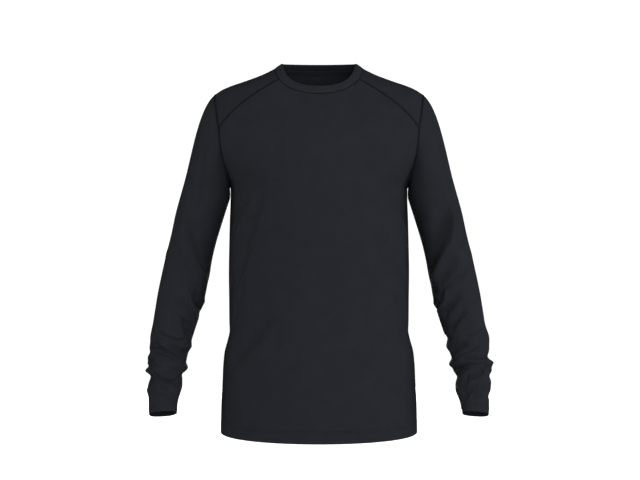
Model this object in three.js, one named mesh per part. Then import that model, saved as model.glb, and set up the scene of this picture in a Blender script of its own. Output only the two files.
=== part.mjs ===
// A long-sleeved crew-neck base layer top in thin knit, standing open in its worn shape with nobody
// inside. Every piece is a closed wall of cloth, cut along the real seams.
// Millimetres, +Z up, the front faces -Y, and the wearer's left is +X. The origin lies midway between
// the high points of the shoulders, where the wearer carries the top.
import * as THREE from 'three';

// Cloth and seams.
const CLOTH = 1.6; // wall of the body, yokes and sleeves
const BAND_WALL = 2.6; // the neckband is rib folded double
const TAPE_WALL = 1.0;
const SEAM_GAP = 0.4; // clear space between two pieces at a seam

// Heights are given as "down", the distance below the shoulder's high point.
const UNDERARM_DOWN = 236;
const SHOULDER_DOWN = 59.5; // where the armhole crosses the shoulder's ridge
const HEM_DOWN = 708; // at the side seams
const HEM_DIP = 11; // the hem hangs this much lower at the centre
const BAND_WIDTH = 17.2;
const TAPE_WIDTH = 10;

// How finely the pieces are cut into flat facets.
const PANEL_COLUMNS = 20;
const ARMHOLE_ROWS = 7;
const YOKE_ROWS = 7; // from the armhole to the neck
const YOKE_HALF_COLUMNS = 5; // from the shoulder's ridge to a yoke seam
const CAP_ROWS = 7; // from the armhole to the first full ring of the sleeve

// The body's rings: half width, and depth of the front and of the back from the side seams.
const BODY_RINGS = [
  { down: -6, half: 56, front: 26, back: 48 },
  { down: 3, half: 74, front: 32, back: 56 },
  { down: 8.5, half: 84.5, front: 35.5, back: 60 },
  { down: 13, half: 93, front: 38, back: 63 },
  { down: 20, half: 107.5, front: 42, back: 66 },
  { down: 27, half: 125, front: 45.5, back: 68.5 },
  { down: 34, half: 144.5, front: 49, back: 71 },
  { down: 42, half: 168, front: 53, back: 74 },
  { down: 49, half: 184.5, front: 56.5, back: 76.5 },
  { down: 54, half: 193, front: 59, back: 78.5 },
  { down: 59.5, half: 200.5, front: 62, back: 80.5 },
  { down: 75, half: 214, front: 71, back: 87 },
  { down: 100, half: 226, front: 86, back: 97 },
  { down: 125, half: 229, front: 99.5, back: 105.5 },
  { down: 150, half: 222, front: 110.5, back: 111.5 },
  { down: 182, half: 204, front: 118.5, back: 115 },
  { down: 208, half: 186, front: 121, back: 115 },
  { down: 236, half: 171, front: 121, back: 112.5 },
  { down: 255, half: 170.2, front: 120, back: 110 },
  { down: 300, half: 171.6, front: 116.5, back: 104.5 },
  { down: 350, half: 172.8, front: 112.5, back: 99.5 },
  { down: 400, half: 173.6, front: 109.5, back: 96.5 },
  { down: 454, half: 173, front: 107.5, back: 96.5 },
  { down: 498, half: 172.6, front: 107.5, back: 99.5 },
  { down: 515, half: 172.2, front: 108, back: 101.5 },
  { down: 532, half: 176, front: 108.8, back: 103.5 },
  { down: 551, half: 181.2, front: 109.6, back: 105.5 },
  { down: 575, half: 184, front: 110.5, back: 108 },
  { down: 610, half: 185.6, front: 111.5, back: 110.5 },
  { down: 650, half: 188, front: 112.5, back: 112.5 },
  { down: 690, half: 188.7, front: 113, back: 113 },
  { down: 740, half: 188.7, front: 113, back: 113 },
];

// Heights of the body's rows below the underarm, close together where the cloth breaks over the hip.
const BODY_ROWS = [
  UNDERARM_DOWN, 262, 292, 324, 356, 388, 420, 450, 478, 500, 515, 531, 550, 575, 606, 640, 674, HEM_DOWN,
];

// The armhole seen from the front, from the shoulder's ridge down to the underarm.
const ARMHOLE = [
  { down: 59.5, across: 200.5 },
  { down: 78, across: 198 },
  { down: 97, across: 195.2 },
  { down: 127, across: 190.4 },
  { down: 150, across: 188.2 },
  { down: 185, across: 183 },
  { down: 208, across: 176.6 },
  { down: 236, across: 171 },
];

// The curved seams of the shoulder yokes, seen from the front and from the back: the end at the neck,
// the point that bends the curve, and the end at the armhole.
const NECK_HALF = 84.5; // half width of the neck seam, at the shoulder's ridge
const NECK_DOWN = 8.5; // its height there
const FRONT_NECK_DIP = 53; // from there down to the middle of the front neck seam
const BACK_NECK_RISE = 1; // and up to the middle of the back neck seam
const YOKE_SEAMS = {
  front: { neckAcross: 76, bend: [168.7, 85], armDown: 128.5 },
  back: { neckAcross: 64, bend: [146, 52], armDown: 118 },
};

// The sleeve's centre line and half widths, read against the height of the ring's centre.
// "forward" is towards the front of the body, and "slim" and "deep" are the ring's two half widths.
const SLEEVE_RINGS = [
  { down: 248, across: 217, forward: -6, slim: 46.5, deep: 58 },
  { down: 300, across: 232.6, forward: -9, slim: 45.4, deep: 56 },
  { down: 339, across: 242.6, forward: -10.5, slim: 43.8, deep: 54 },
  { down: 377, across: 251.6, forward: -10, slim: 44.2, deep: 52 },
  { down: 416, across: 259.4, forward: -6.5, slim: 44.9, deep: 50 },
  { down: 454, across: 267, forward: 0, slim: 44.6, deep: 48 },
  { down: 493, across: 276, forward: 8, slim: 41.4, deep: 45.5 },
  { down: 531, across: 285, forward: 16.5, slim: 38.6, deep: 42.5 },
  { down: 568, across: 290.4, forward: 25.5, slim: 36.4, deep: 39.5 },
  { down: 606, across: 293.2, forward: 35, slim: 31.8, deep: 36 },
  { down: 644, across: 296, forward: 44.5, slim: 27.8, deep: 33 },
  { down: 674, across: 296.2, forward: 52, slim: 25.4, deep: 31 },
];
const SLEEVE_TOP = SLEEVE_RINGS[0].down;
const CUFF_DOWN = SLEEVE_RINGS[SLEEVE_RINGS.length - 1].down;
const LOOSE_FROM = 492; // below here the sleeve is bunched, so its rings lie closer together
const SMOOTH_STEP = 25;
const BUNCHED_STEP = 8.2;

// The sleeve cap leaves the armhole outwards and turns down into the arm.
const CAP_LEAVES_AT = 38; // degrees below level, at the shoulder
const CAP_LEAVES_UNDERARM_AT = 84;
const CAP_PULL = { start: 0.66, end: 0.92 }; // how far it keeps each end's direction, as a share of its span

// Folds. Each runs through three stations, given as an angle and a height down, and is a ridge where
// "rise" is above nought or a trough below it. On the body the angle is nought at the centre and 90 at
// the wearer's left side seam. On a sleeve it is nought on the outer side, 90 in front, 180 inside and
// 270 behind.
const FRONT_FOLDS = [
  { a0: -82, d0: 318, a1: -60, d1: 268, a2: -40, d2: 236, rise: -2.2, width: 13 },
  { a0: -84, d0: 462, a1: -60, d1: 390, a2: -38, d2: 330, rise: -2.4, width: 17 },
  { a0: -80, d0: 512, a1: -62, d1: 452, a2: -46, d2: 410, rise: 1.8, width: 15 },
  { a0: -72, d0: 585, a1: -44, d1: 520, a2: -22, d2: 474, rise: -2.2, width: 19 },
  { a0: 82, d0: 308, a1: 62, d1: 268, a2: 42, d2: 232, rise: -2.2, width: 13 },
  { a0: 84, d0: 452, a1: 62, d1: 380, a2: 44, d2: 300, rise: -2.4, width: 16 },
  { a0: 82, d0: 508, a1: 66, d1: 452, a2: 52, d2: 404, rise: 1.8, width: 15 },
  { a0: 74, d0: 578, a1: 50, d1: 524, a2: 28, d2: 480, rise: -2, width: 19 },
];
const BACK_FOLDS = [
  { a0: -80, d0: 300, a1: -56, d1: 276, a2: -34, d2: 262, rise: -2, width: 15 },
  { a0: -84, d0: 470, a1: -58, d1: 420, a2: -30, d2: 392, rise: -2.6, width: 18 },
  { a0: -80, d0: 520, a1: -50, d1: 480, a2: -18, d2: 462, rise: 2, width: 17 },
  { a0: 80, d0: 312, a1: 58, d1: 282, a2: 30, d2: 264, rise: -2, width: 15 },
  { a0: 84, d0: 462, a1: 54, d1: 424, a2: 22, d2: 408, rise: -2.6, width: 18 },
  { a0: 80, d0: 528, a1: 56, d1: 492, a2: 26, d2: 470, rise: 2, width: 17 },
];
const SLEEVE_FOLDS = {
  left: [
    { a0: 44, d0: 296, a1: 92, d1: 352, a2: 168, d2: 408, rise: 2.4, width: 13 },
    { a0: 66, d0: 300, a1: 116, d1: 352, a2: 172, d2: 392, rise: -2.6, width: 12 },
    { a0: 10, d0: 366, a1: 76, d1: 362, a2: 176, d2: 424, rise: 2.6, width: 11 },
    { a0: 108, d0: 470, a1: 148, d1: 440, a2: 190, d2: 428, rise: -2.8, width: 10 },
    { a0: 72, d0: 486, a1: 118, d1: 510, a2: 168, d2: 506, rise: -2.4, width: 11 },
    { a0: 8, d0: 498, a1: 52, d1: 520, a2: 112, d2: 548, rise: -2.2, width: 9 },
    { a0: 20, d0: 536, a1: 96, d1: 560, a2: 196, d2: 566, rise: -3, width: 8 },
    { a0: -80, d0: 590, a1: 80, d1: 569, a2: 220, d2: 574, rise: 4.8, width: 8 },
    { a0: -40, d0: 600, a1: 84, d1: 586, a2: 210, d2: 604, rise: -3.2, width: 8 },
    { a0: -30, d0: 618, a1: 60, d1: 606, a2: 170, d2: 628, rise: 3.2, width: 9 },
    { a0: 20, d0: 624, a1: 90, d1: 628, a2: 168, d2: 650, rise: -2.2, width: 7 },
    { a0: 190, d0: 400, a1: 240, d1: 392, a2: 300, d2: 410, rise: 2.2, width: 14 },
    { a0: 200, d0: 520, a1: 262, d1: 532, a2: 330, d2: 522, rise: 2.8, width: 10 },
    { a0: 190, d0: 556, a1: 256, d1: 552, a2: 324, d2: 560, rise: -2.6, width: 8 },
    { a0: 196, d0: 622, a1: 262, d1: 632, a2: 336, d2: 622, rise: 2.4, width: 8 },
    { a0: -64, d0: 560, a1: -2, d1: 561, a2: 56, d2: 556, rise: -4.2, width: 8 },
  ],
  right: [
    { a0: 40, d0: 286, a1: 92, d1: 346, a2: 168, d2: 412, rise: 2.6, width: 13 },
    { a0: 62, d0: 292, a1: 116, d1: 344, a2: 172, d2: 394, rise: -2.8, width: 12 },
    { a0: 0, d0: 366, a1: 78, d1: 366, a2: 178, d2: 426, rise: 2.6, width: 11 },
    { a0: 104, d0: 440, a1: 142, d1: 458, a2: 190, d2: 476, rise: -2.8, width: 10 },
    { a0: 74, d0: 470, a1: 112, d1: 500, a2: 164, d2: 520, rise: -2, width: 12 },
    { a0: 10, d0: 502, a1: 66, d1: 530, a2: 150, d2: 532, rise: -2.6, width: 9 },
    { a0: 0, d0: 536, a1: 80, d1: 560, a2: 186, d2: 580, rise: -3.4, width: 8 },
    { a0: -20, d0: 556, a1: 40, d1: 562, a2: 120, d2: 590, rise: 2.8, width: 8 },
    { a0: -10, d0: 588, a1: 80, d1: 582, a2: 225, d2: 592, rise: 4.4, width: 8 },
    { a0: 10, d0: 596, a1: 90, d1: 606, a2: 180, d2: 616, rise: -3.2, width: 8 },
    { a0: -30, d0: 632, a1: 66, d1: 622, a2: 150, d2: 640, rise: 3, width: 8 },
    { a0: 186, d0: 404, a1: 244, d1: 398, a2: 306, d2: 414, rise: 2.2, width: 14 },
    { a0: 200, d0: 526, a1: 260, d1: 536, a2: 326, d2: 520, rise: 2.8, width: 10 },
    { a0: 196, d0: 556, a1: 260, d1: 560, a2: 320, d2: 550, rise: -2.6, width: 8 },
    { a0: 190, d0: 616, a1: 262, d1: 626, a2: 330, d2: 612, rise: 2.4, width: 8 },
    { a0: -70, d0: 552, a1: -4, d1: 546, a2: 52, d2: 548, rise: -5, width: 9 },
    { a0: -66, d0: 594, a1: 0, d1: 592, a2: 60, d2: 598, rise: -4.4, width: 13 },
  ],
};
const FOLD_FADE = 0.3; // a fold dies away over this share of its run at each end

const KNIT = new THREE.Color(0.0203, 0.0232, 0.0284);
const radians = THREE.MathUtils.degToRad;
const mix = THREE.MathUtils.lerp;

// A smooth curve through one column of a table: cubic pieces whose slopes follow the neighbours.
function through(rows, key, column) {
  const at = rows.map((row) => row[key]);
  const value = rows.map((row) => row[column]);
  const rate = at.slice(1).map((x, i) => (value[i + 1] - value[i]) / (x - at[i]));
  const slope = at.map((x, i) => {
    if (i === 0) return rate[0];
    if (i === at.length - 1) return rate[i - 1];
    const before = at[i] - at[i - 1];
    const after = at[i + 1] - at[i];
    return (rate[i - 1] * after + rate[i] * before) / (before + after);
  });
  return (x) => {
    let i = 0;
    while (i < at.length - 2 && x > at[i + 1]) i += 1;
    const span = at[i + 1] - at[i];
    const t = THREE.MathUtils.clamp((x - at[i]) / span, 0, 1);
    const near = value[i] * (1 + 2 * t) * (1 - t) ** 2 + slope[i] * span * t * (1 - t) ** 2;
    const far = value[i + 1] * t * t * (3 - 2 * t) - slope[i + 1] * span * t * t * (1 - t);
    return near + far;
  };
}

const bodyHalf = through(BODY_RINGS, 'down', 'half');
const bodyDepth = {
  front: through(BODY_RINGS, 'down', 'front'),
  back: through(BODY_RINGS, 'down', 'back'),
};
const armholeAcross = through(ARMHOLE, 'down', 'across');
const sleeveAcross = through(SLEEVE_RINGS, 'down', 'across');
const sleeveForward = through(SLEEVE_RINGS, 'down', 'forward');
const sleeveSlim = through(SLEEVE_RINGS, 'down', 'slim');
const sleeveDeep = through(SLEEVE_RINGS, 'down', 'deep');

// A point of the body's form. Each ring is a half ellipse in front and another behind, and "turn" is
// the angle from the centre towards the side seam, signed towards the wearer's left.
function bodyForm(side, turn, down) {
  const depth = bodyDepth[side](down) * Math.cos(turn);
  return new THREE.Vector3(bodyHalf(down) * Math.sin(turn), side === 'front' ? -depth : depth, -down);
}

// The way out of the body's form, from its slopes along the ring and down the body.
function bodyOut(side, turn, down) {
  const step = 0.01;
  const across = bodyForm(side, turn + step, down).sub(bodyForm(side, turn - step, down));
  const along = bodyForm(side, turn, down + 1).sub(bodyForm(side, turn, down - 1));
  const out = side === 'front' ? along.cross(across) : across.cross(along);
  return out.normalize();
}

// The turn at which the form has this distance across, at this height.
function turnAt(across, down) {
  return Math.asin(THREE.MathUtils.clamp(across / bodyHalf(down), -1, 1));
}

// How high the folds stand at a place: each is a rounded ridge or trough about its own path, a
// parabola through three stations.
function foldHeight(folds, angle, down) {
  let height = 0;
  for (const fold of folds) {
    const share = (angle - fold.a0) / (fold.a2 - fold.a0);
    if (share <= 0 || share >= 1) continue;
    const middle = (fold.a1 - fold.a0) / (fold.a2 - fold.a0);
    const lift = (fold.d1 - mix(fold.d0, fold.d2, middle)) / (middle * (1 - middle));
    const path = mix(fold.d0, fold.d2, share) + lift * share * (1 - share);
    const fade = Math.min(1, share / FOLD_FADE, (1 - share) / FOLD_FADE);
    const off = (down - path) / fold.width;
    height += fold.rise * fade * fade * (3 - 2 * fade) * Math.exp(-off * off);
  }
  return height;
}

// The neck seam: in front an ellipse that hangs from the shoulder's ridge, behind a slight rise.
function neckDown(side, across) {
  const round = 1 - Math.sqrt(Math.max(0, 1 - (across / NECK_HALF) ** 2));
  return side === 'front'
    ? NECK_DOWN + FRONT_NECK_DIP * (1 - round)
    : NECK_DOWN - BACK_NECK_RISE * (1 - round);
}

// A yoke seam, from the neck at 0 to the armhole at 1, as its distance across and height down.
function yokeSeam(side, share) {
  const seam = YOKE_SEAMS[side];
  const neck = new THREE.Vector2(seam.neckAcross, neckDown(side, seam.neckAcross));
  const arm = new THREE.Vector2(armholeAcross(seam.armDown), seam.armDown);
  return new THREE.QuadraticBezierCurve(neck, new THREE.Vector2(...seam.bend), arm).getPoint(share);
}

// A place on the body's form: its point, the way out, and the height of the folds there.
function bodyPlace(side, across, down) {
  const turn = turnAt(across, down);
  const folds = side === 'front' ? FRONT_FOLDS : BACK_FOLDS;
  const out = bodyOut(side, turn, down);
  const lift = foldHeight(folds, THREE.MathUtils.radToDeg(turn), down);
  return { point: bodyForm(side, turn, down).addScaledVector(out, lift), out };
}

// The rows of a body panel from the hem up: where each row ends at the side, and its height at the
// centre. Rows end on the side seam, then on the armhole, then on the yoke seam.
function panelRows(side) {
  const seam = YOKE_SEAMS[side];
  const rows = BODY_ROWS.slice().reverse().map((down, i) => ({
    across: bodyHalf(down),
    edge: down,
    centre: i === 0 ? down + HEM_DIP : down,
    square: true,
  }));
  const upper = ARMHOLE_ROWS + YOKE_ROWS;
  for (let i = 1; i <= upper; i += 1) {
    const centre = mix(UNDERARM_DOWN, neckDown(side, 0), i / upper);
    if (i <= ARMHOLE_ROWS) {
      const edge = mix(UNDERARM_DOWN, seam.armDown, (i / ARMHOLE_ROWS) ** 2);
      rows.push({ across: armholeAcross(edge), edge, centre, square: true });
    } else {
      const end = yokeSeam(side, 1 - (i - ARMHOLE_ROWS) / YOKE_ROWS);
      rows.push({ across: end.x, edge: end.y, centre, square: false });
    }
  }
  return rows;
}

// A point of a panel's row, with "s" from -1 to 1 between its ends. Spacing is even round the form.
function onRow(side, row, s) {
  const end = turnAt(row.across, row.edge);
  const across = (row.across * Math.sin(s * end)) / Math.sin(end);
  const bend = YOKE_SEAMS[side].neckAcross / NECK_HALF;
  const round = (1 - Math.sqrt(1 - (bend * s) ** 2)) / (1 - Math.sqrt(1 - bend * bend));
  const down = mix(row.centre, row.edge, row.square ? s * s : round);
  return { across, down };
}

// Moves a grid's border points towards the next ones in, to leave half the seam's gap.
function pullIn(grid, wraps) {
  const last = grid.length - 1;
  const towards = (place, inner) => {
    const way = inner.point.clone().sub(place.point).normalize();
    place.point.addScaledVector(way, SEAM_GAP / 2);
  };
  const inner = grid.map((row) => row.map((place) => ({ point: place.point.clone() })));
  grid[0].forEach((place, i) => towards(place, inner[1][i]));
  grid[last].forEach((place, i) => towards(place, inner[last - 1][i]));
  if (!wraps) {
    grid.forEach((row, j) => {
      towards(row[0], inner[j][1]);
      towards(row[row.length - 1], inner[j][row.length - 2]);
    });
  }
  return grid;
}

// A closed wall of cloth from a grid of places: its outer face, its inner face a wall's thickness
// behind, and the strips that join them round the border.
function wall(grid, wraps, thickness) {
  const rows = grid.length;
  const columns = grid[0].length;
  const flat = grid.flat();
  const points = [
    ...flat.map((place) => place.point),
    ...flat.map((place) => place.point.clone().addScaledVector(place.out, -thickness)),
  ];
  const inside = rows * columns;
  const faces = [];
  const quad = (a, b, c, d) => faces.push(a, b, c, a, c, d);
  const spans = wraps ? columns : columns - 1;
  for (let j = 0; j < rows - 1; j += 1) {
    for (let i = 0; i < spans; i += 1) {
      const a = j * columns + i;
      const b = j * columns + ((i + 1) % columns);
      const c = b + columns;
      const d = a + columns;
      quad(a, b, c, d);
      quad(inside + d, inside + c, inside + b, inside + a);
    }
  }
  for (let i = 0; i < spans; i += 1) {
    const b = (i + 1) % columns;
    const top = (rows - 1) * columns;
    quad(inside + i, inside + b, b, i);
    quad(top + i, top + b, inside + top + b, inside + top + i);
  }
  if (!wraps) {
    for (let j = 0; j < rows - 1; j += 1) {
      const a = j * columns;
      const b = a + columns;
      quad(a, b, inside + b, inside + a);
      quad(inside + a + columns - 1, inside + b + columns - 1, b + columns - 1, a + columns - 1);
    }
  }
  return solid(points, faces);
}

// A geometry from points and faces, turned so that its faces point out.
function solid(points, faces) {
  let volume = 0;
  for (let i = 0; i < faces.length; i += 3) {
    const [a, b, c] = faces.slice(i, i + 3).map((k) => points[k]);
    volume += a.dot(b.clone().cross(c));
  }
  const index = volume < 0 ? faces.slice().reverse() : faces;
  const geometry = new THREE.BufferGeometry().setFromPoints(points);
  geometry.setIndex(index);
  geometry.computeVertexNormals();
  return geometry;
}

function mirrored(grid) {
  const flip = (v) => new THREE.Vector3(-v.x, v.y, v.z);
  return grid.map((row) => row.map(({ point, out }) => ({ point: flip(point), out: flip(out) })));
}

// The front or back panel.
function bodyPanel(side) {
  const columns = Array.from({ length: PANEL_COLUMNS + 1 }, (_, i) => (2 * i) / PANEL_COLUMNS - 1);
  return panelRows(side).map((row) => columns.map((s) => {
    const { across, down } = onRow(side, row, s);
    return bodyPlace(side, across, down);
  }));
}

// A place on a yoke, "along" from the neck at 0 to the armhole at 1, and "round" from the shoulder's
// ridge at 0 to the seam on that side at 1. The heights fall with the square of "round", which spaces
// the points evenly over the rounded ridge.
function yokePlace(side, along, round) {
  const fall = round * round;
  const ridgeDown = mix(NECK_DOWN, SHOULDER_DOWN, along);
  const seam = yokeSeam(side, along);
  const down = mix(ridgeDown, seam.y, fall);
  const straight = (from, to) => mix(from, to, fall);
  const neck = yokeSeam(side, 0);
  const arm = yokeSeam(side, 1);
  const neckAt = mix(NECK_DOWN, neck.y, fall);
  const dip = (neckAt - NECK_DOWN) / FRONT_NECK_DIP;
  const neckBulge = side === 'front' ? NECK_HALF * Math.sqrt(1 - dip * dip) - straight(NECK_HALF, neck.x) : 0;
  const armAt = mix(SHOULDER_DOWN, arm.y, fall);
  const armBulge = armholeAcross(armAt) - straight(armholeAcross(SHOULDER_DOWN), arm.x);
  const across = straight(bodyHalf(ridgeDown), seam.x) + mix(neckBulge, armBulge, along);
  return bodyPlace(side, across, down);
}

// A yoke, each row running from its front seam over the ridge to its back seam.
function yoke() {
  return Array.from({ length: YOKE_ROWS + 1 }, (_, j) => {
    const along = j / YOKE_ROWS;
    return Array.from({ length: 2 * YOKE_HALF_COLUMNS + 1 }, (__, i) => {
      const round = i / YOKE_HALF_COLUMNS - 1;
      return yokePlace(round < 0 ? 'front' : 'back', along, Math.abs(round));
    });
  });
}

// The armhole's edge from the shoulder's ridge down one side to the underarm.
function armholeHalf(side) {
  const over = Array.from({ length: YOKE_HALF_COLUMNS + 1 }, (_, i) => yokePlace(side, 1, i / YOKE_HALF_COLUMNS));
  const rows = panelRows(side).slice(BODY_ROWS.length - 1, BODY_ROWS.length + ARMHOLE_ROWS - 1);
  const down = rows.reverse().map((row) => bodyPlace(side, row.across, row.edge));
  return [...over, ...down].map((place) => place.point);
}

// The whole armhole, each point with its angle round the sleeve, by its share of the edge's length.
function armhole() {
  const loop = [];
  for (const side of ['front', 'back']) {
    const points = armholeHalf(side);
    const lengths = [0];
    points.slice(1).forEach((p, i) => lengths.push(lengths[i] + p.distanceTo(points[i])));
    const whole = lengths[lengths.length - 1];
    points.forEach((point, i) => {
      const half = (180 * lengths[i]) / whole;
      loop.push({ point, angle: side === 'front' ? half : 360 - half });
    });
  }
  const front = loop.slice(0, loop.length / 2);
  const back = loop.slice(loop.length / 2 + 1, -1).reverse();
  return [...front, ...back];
}

// The sleeve's centre line, its direction down the arm, and the ring's two directions there.
function sleeveFrame(down) {
  const centre = new THREE.Vector3(sleeveAcross(down), -sleeveForward(down), -down);
  const before = new THREE.Vector3(sleeveAcross(down - 1), -sleeveForward(down - 1), 1 - down);
  const after = new THREE.Vector3(sleeveAcross(down + 1), -sleeveForward(down + 1), -1 - down);
  const along = after.sub(before).normalize();
  const outer = new THREE.Vector3(1, 0, 0);
  outer.addScaledVector(along, -outer.dot(along)).normalize();
  const front = along.clone().cross(outer).normalize();
  if (front.y > 0) front.negate();
  return { centre, along, outer, front };
}

function sleeveRing(down, angle) {
  const { centre, outer, front } = sleeveFrame(down);
  const turn = radians(angle);
  return centre
    .addScaledVector(outer, sleeveSlim(down) * Math.cos(turn))
    .addScaledVector(front, sleeveDeep(down) * Math.sin(turn));
}

// A point of the cap, "share" of the way from the armhole to the sleeve's first full ring. It leaves
// the armhole outwards at the shoulder. At the underarm it goes almost straight down, along the body,
// so it starts the seam's gap further out there.
function capPoint(edge, angle, share) {
  const over = (1 + Math.cos(radians(angle))) / 2;
  const start = edge.clone().add(new THREE.Vector3(SEAM_GAP * (1 - over), 0, 0));
  const end = sleeveRing(SLEEVE_TOP, angle);
  const span = end.distanceTo(start);
  const below = radians(mix(CAP_LEAVES_UNDERARM_AT, CAP_LEAVES_AT, over));
  const leave = new THREE.Vector3(Math.cos(below), 0, -Math.sin(below)).multiplyScalar(CAP_PULL.start * span);
  const arrive = sleeveFrame(SLEEVE_TOP).along.multiplyScalar(CAP_PULL.end * span);
  const t = share;
  return new THREE.Vector3()
    .addScaledVector(start, (1 + 2 * t) * (1 - t) ** 2)
    .addScaledVector(leave, t * (1 - t) ** 2)
    .addScaledVector(end, t * t * (3 - 2 * t))
    .addScaledVector(arrive, -t * t * (1 - t));
}

// Heights of the sleeve's full rings.
function ringHeights() {
  const smooth = Math.round((LOOSE_FROM - SLEEVE_TOP) / SMOOTH_STEP);
  const bunched = Math.round((CUFF_DOWN - LOOSE_FROM) / BUNCHED_STEP);
  return [
    ...Array.from({ length: smooth }, (_, i) => mix(SLEEVE_TOP, LOOSE_FROM, i / smooth)),
    ...Array.from({ length: bunched + 1 }, (_, i) => mix(LOOSE_FROM, CUFF_DOWN, i / bunched)),
  ];
}

// The way out of each point of a tube, from its neighbours along and around.
function outwards(tube) {
  const columns = tube[0].length;
  return tube.map((ring, j) => ring.map((point, i) => {
    const along = tube[Math.min(j + 1, tube.length - 1)][i].clone().sub(tube[Math.max(j - 1, 0)][i]);
    const around = ring[(i + 1) % columns].clone().sub(ring[(i + columns - 1) % columns]);
    return around.cross(along).normalize();
  }));
}

// A sleeve, from the armhole down to the cuff's edge, with its folds.
function sleeve(folds) {
  const loop = armhole();
  const tube = Array.from({ length: CAP_ROWS }, (_, j) =>
    loop.map(({ point, angle }) => capPoint(point, angle, j / CAP_ROWS)));
  ringHeights().forEach((down) => tube.push(loop.map(({ angle }) => sleeveRing(down, angle))));
  const ways = outwards(tube);
  return tube.map((ring, j) => ring.map((point, i) => {
    const out = ways[j][i];
    const { angle } = loop[i];
    const lift = foldHeight(folds, angle, -point.z) + foldHeight(folds, angle - 360, -point.z);
    return { point: point.clone().addScaledVector(out, lift), out };
  }));
}

// The neck seam all round, each point with the way up the band from there.
function neckLoop() {
  const rowOf = (side) => {
    const rows = panelRows(side);
    const top = rows[rows.length - 1];
    return Array.from({ length: PANEL_COLUMNS - 1 }, (_, i) => {
      const { across, down } = onRow(side, top, (2 * (i + 1)) / PANEL_COLUMNS - 1);
      return bodyPlace(side, across, down).point;
    });
  };
  const overLeft = yoke()[0].map((place) => place.point);
  const overRight = mirrored(yoke())[0].map((place) => place.point);
  return [...rowOf('front'), ...overLeft, ...rowOf('back').reverse(), ...overRight.reverse()];
}

// The band's section, as shares of its width up from the seam, and distances out from the seam line.
const BAND_SECTION = [
  { up: 0, out: 0 },
  { up: 0.3, out: 0.7 },
  { up: 0.75, out: 0.5 },
  { up: 1, out: -BAND_WALL / 2 + 0.2 },
  { up: 0.75, out: 0.5 - BAND_WALL },
  { up: 0.3, out: 0.7 - BAND_WALL },
  { up: 0.05, out: -CLOTH },
];
const BAND_LEAN = { front: 0.4, side: 0.82, back: 0.76 }; // share of the band's rise that goes inwards

// The neckband: the section carried round the neck seam. It leans in towards the neck.
function neckband() {
  const loop = neckLoop();
  const centre = new THREE.Vector3(0, 0, 0);
  loop.forEach((p) => centre.add(p));
  centre.divideScalar(loop.length);
  const points = [];
  loop.forEach((p, i) => {
    const around = loop[(i + 1) % loop.length].clone().sub(loop[(i + loop.length - 1) % loop.length]).normalize();
    const inwards = new THREE.Vector3(centre.x - p.x, centre.y - p.y, 0).normalize();
    const facing = inwards.y * inwards.y;
    const lean = mix(BAND_LEAN.side, inwards.y > 0 ? BAND_LEAN.front : BAND_LEAN.back, facing);
    const up = inwards.multiplyScalar(lean).add(new THREE.Vector3(0, 0, Math.sqrt(1 - lean * lean)));
    up.addScaledVector(around, -up.dot(around)).normalize();
    const out = around.clone().cross(up).normalize();
    for (const { up: share, out: away } of BAND_SECTION) {
      const rise = share * BAND_WIDTH + (share === 0 ? SEAM_GAP / 2 : 0);
      points.push(p.clone().addScaledVector(up, rise).addScaledVector(out, away));
    }
  });
  const faces = [];
  const around = BAND_SECTION.length;
  for (let i = 0; i < loop.length; i += 1) {
    const next = ((i + 1) % loop.length) * around;
    for (let k = 0; k < around; k += 1) {
      const a = i * around + k;
      const b = i * around + ((k + 1) % around);
      const c = next + ((k + 1) % around);
      const d = next + k;
      faces.push(a, b, c, a, c, d);
    }
  }
  return solid(points, faces);
}

// The tape that covers the neck seam inside the back neck, laid on the back panel's inner face and
// measured down from its neck edge.
const TAPE_TOP = 1.5;
function neckTape() {
  const [below, edge] = bodyPanel('back').slice(-2).map((row) => row.slice(1, -1));
  return [TAPE_TOP + TAPE_WIDTH, TAPE_TOP].map((distance) => edge.map((place, i) => {
    const share = distance / place.point.distanceTo(below[i].point);
    const out = place.out.clone().lerp(below[i].out, share).normalize();
    const point = place.point.clone().lerp(below[i].point, share);
    return { point: point.addScaledVector(out, -CLOTH - SEAM_GAP), out };
  }));
}

const top = new THREE.Group();

function sew(name, geometry, roughness) {
  const cloth = new THREE.MeshStandardMaterial({ color: KNIT, roughness, metalness: 0 });
  const mesh = new THREE.Mesh(geometry, cloth);
  mesh.name = name;
  top.add(mesh);
}

const KNIT_ROUGHNESS = 0.86;
const RIB_ROUGHNESS = 0.9;
sew('front', wall(pullIn(bodyPanel('front'), false), false, CLOTH), KNIT_ROUGHNESS);
sew('back', wall(pullIn(bodyPanel('back'), false), false, CLOTH), KNIT_ROUGHNESS);
sew('yoke_left', wall(pullIn(yoke(), false), false, CLOTH), KNIT_ROUGHNESS);
sew('yoke_right', wall(pullIn(mirrored(yoke()), false), false, CLOTH), KNIT_ROUGHNESS);
sew('sleeve_left', wall(pullIn(sleeve(SLEEVE_FOLDS.left), true), true, CLOTH), KNIT_ROUGHNESS);
sew('sleeve_right', wall(pullIn(mirrored(sleeve(SLEEVE_FOLDS.right)), true), true, CLOTH), KNIT_ROUGHNESS);
sew('neckband', neckband(), RIB_ROUGHNESS);
sew('neck_tape', wall(neckTape(), false, TAPE_WALL), RIB_ROUGHNESS);

export default top;
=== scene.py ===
"""A long-sleeved crew-neck base layer top in thin charcoal knit, standing open in its worn shape.

The cloth is worked out as whole grids on the form of the frame's pieces, with finer creases, and the
stitching is thread carried along the seams. Tables and named sizes are in millimetres and degrees.
"down" is the distance below the shoulder's high point, and a mesh gets metres.
"""
import math

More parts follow.
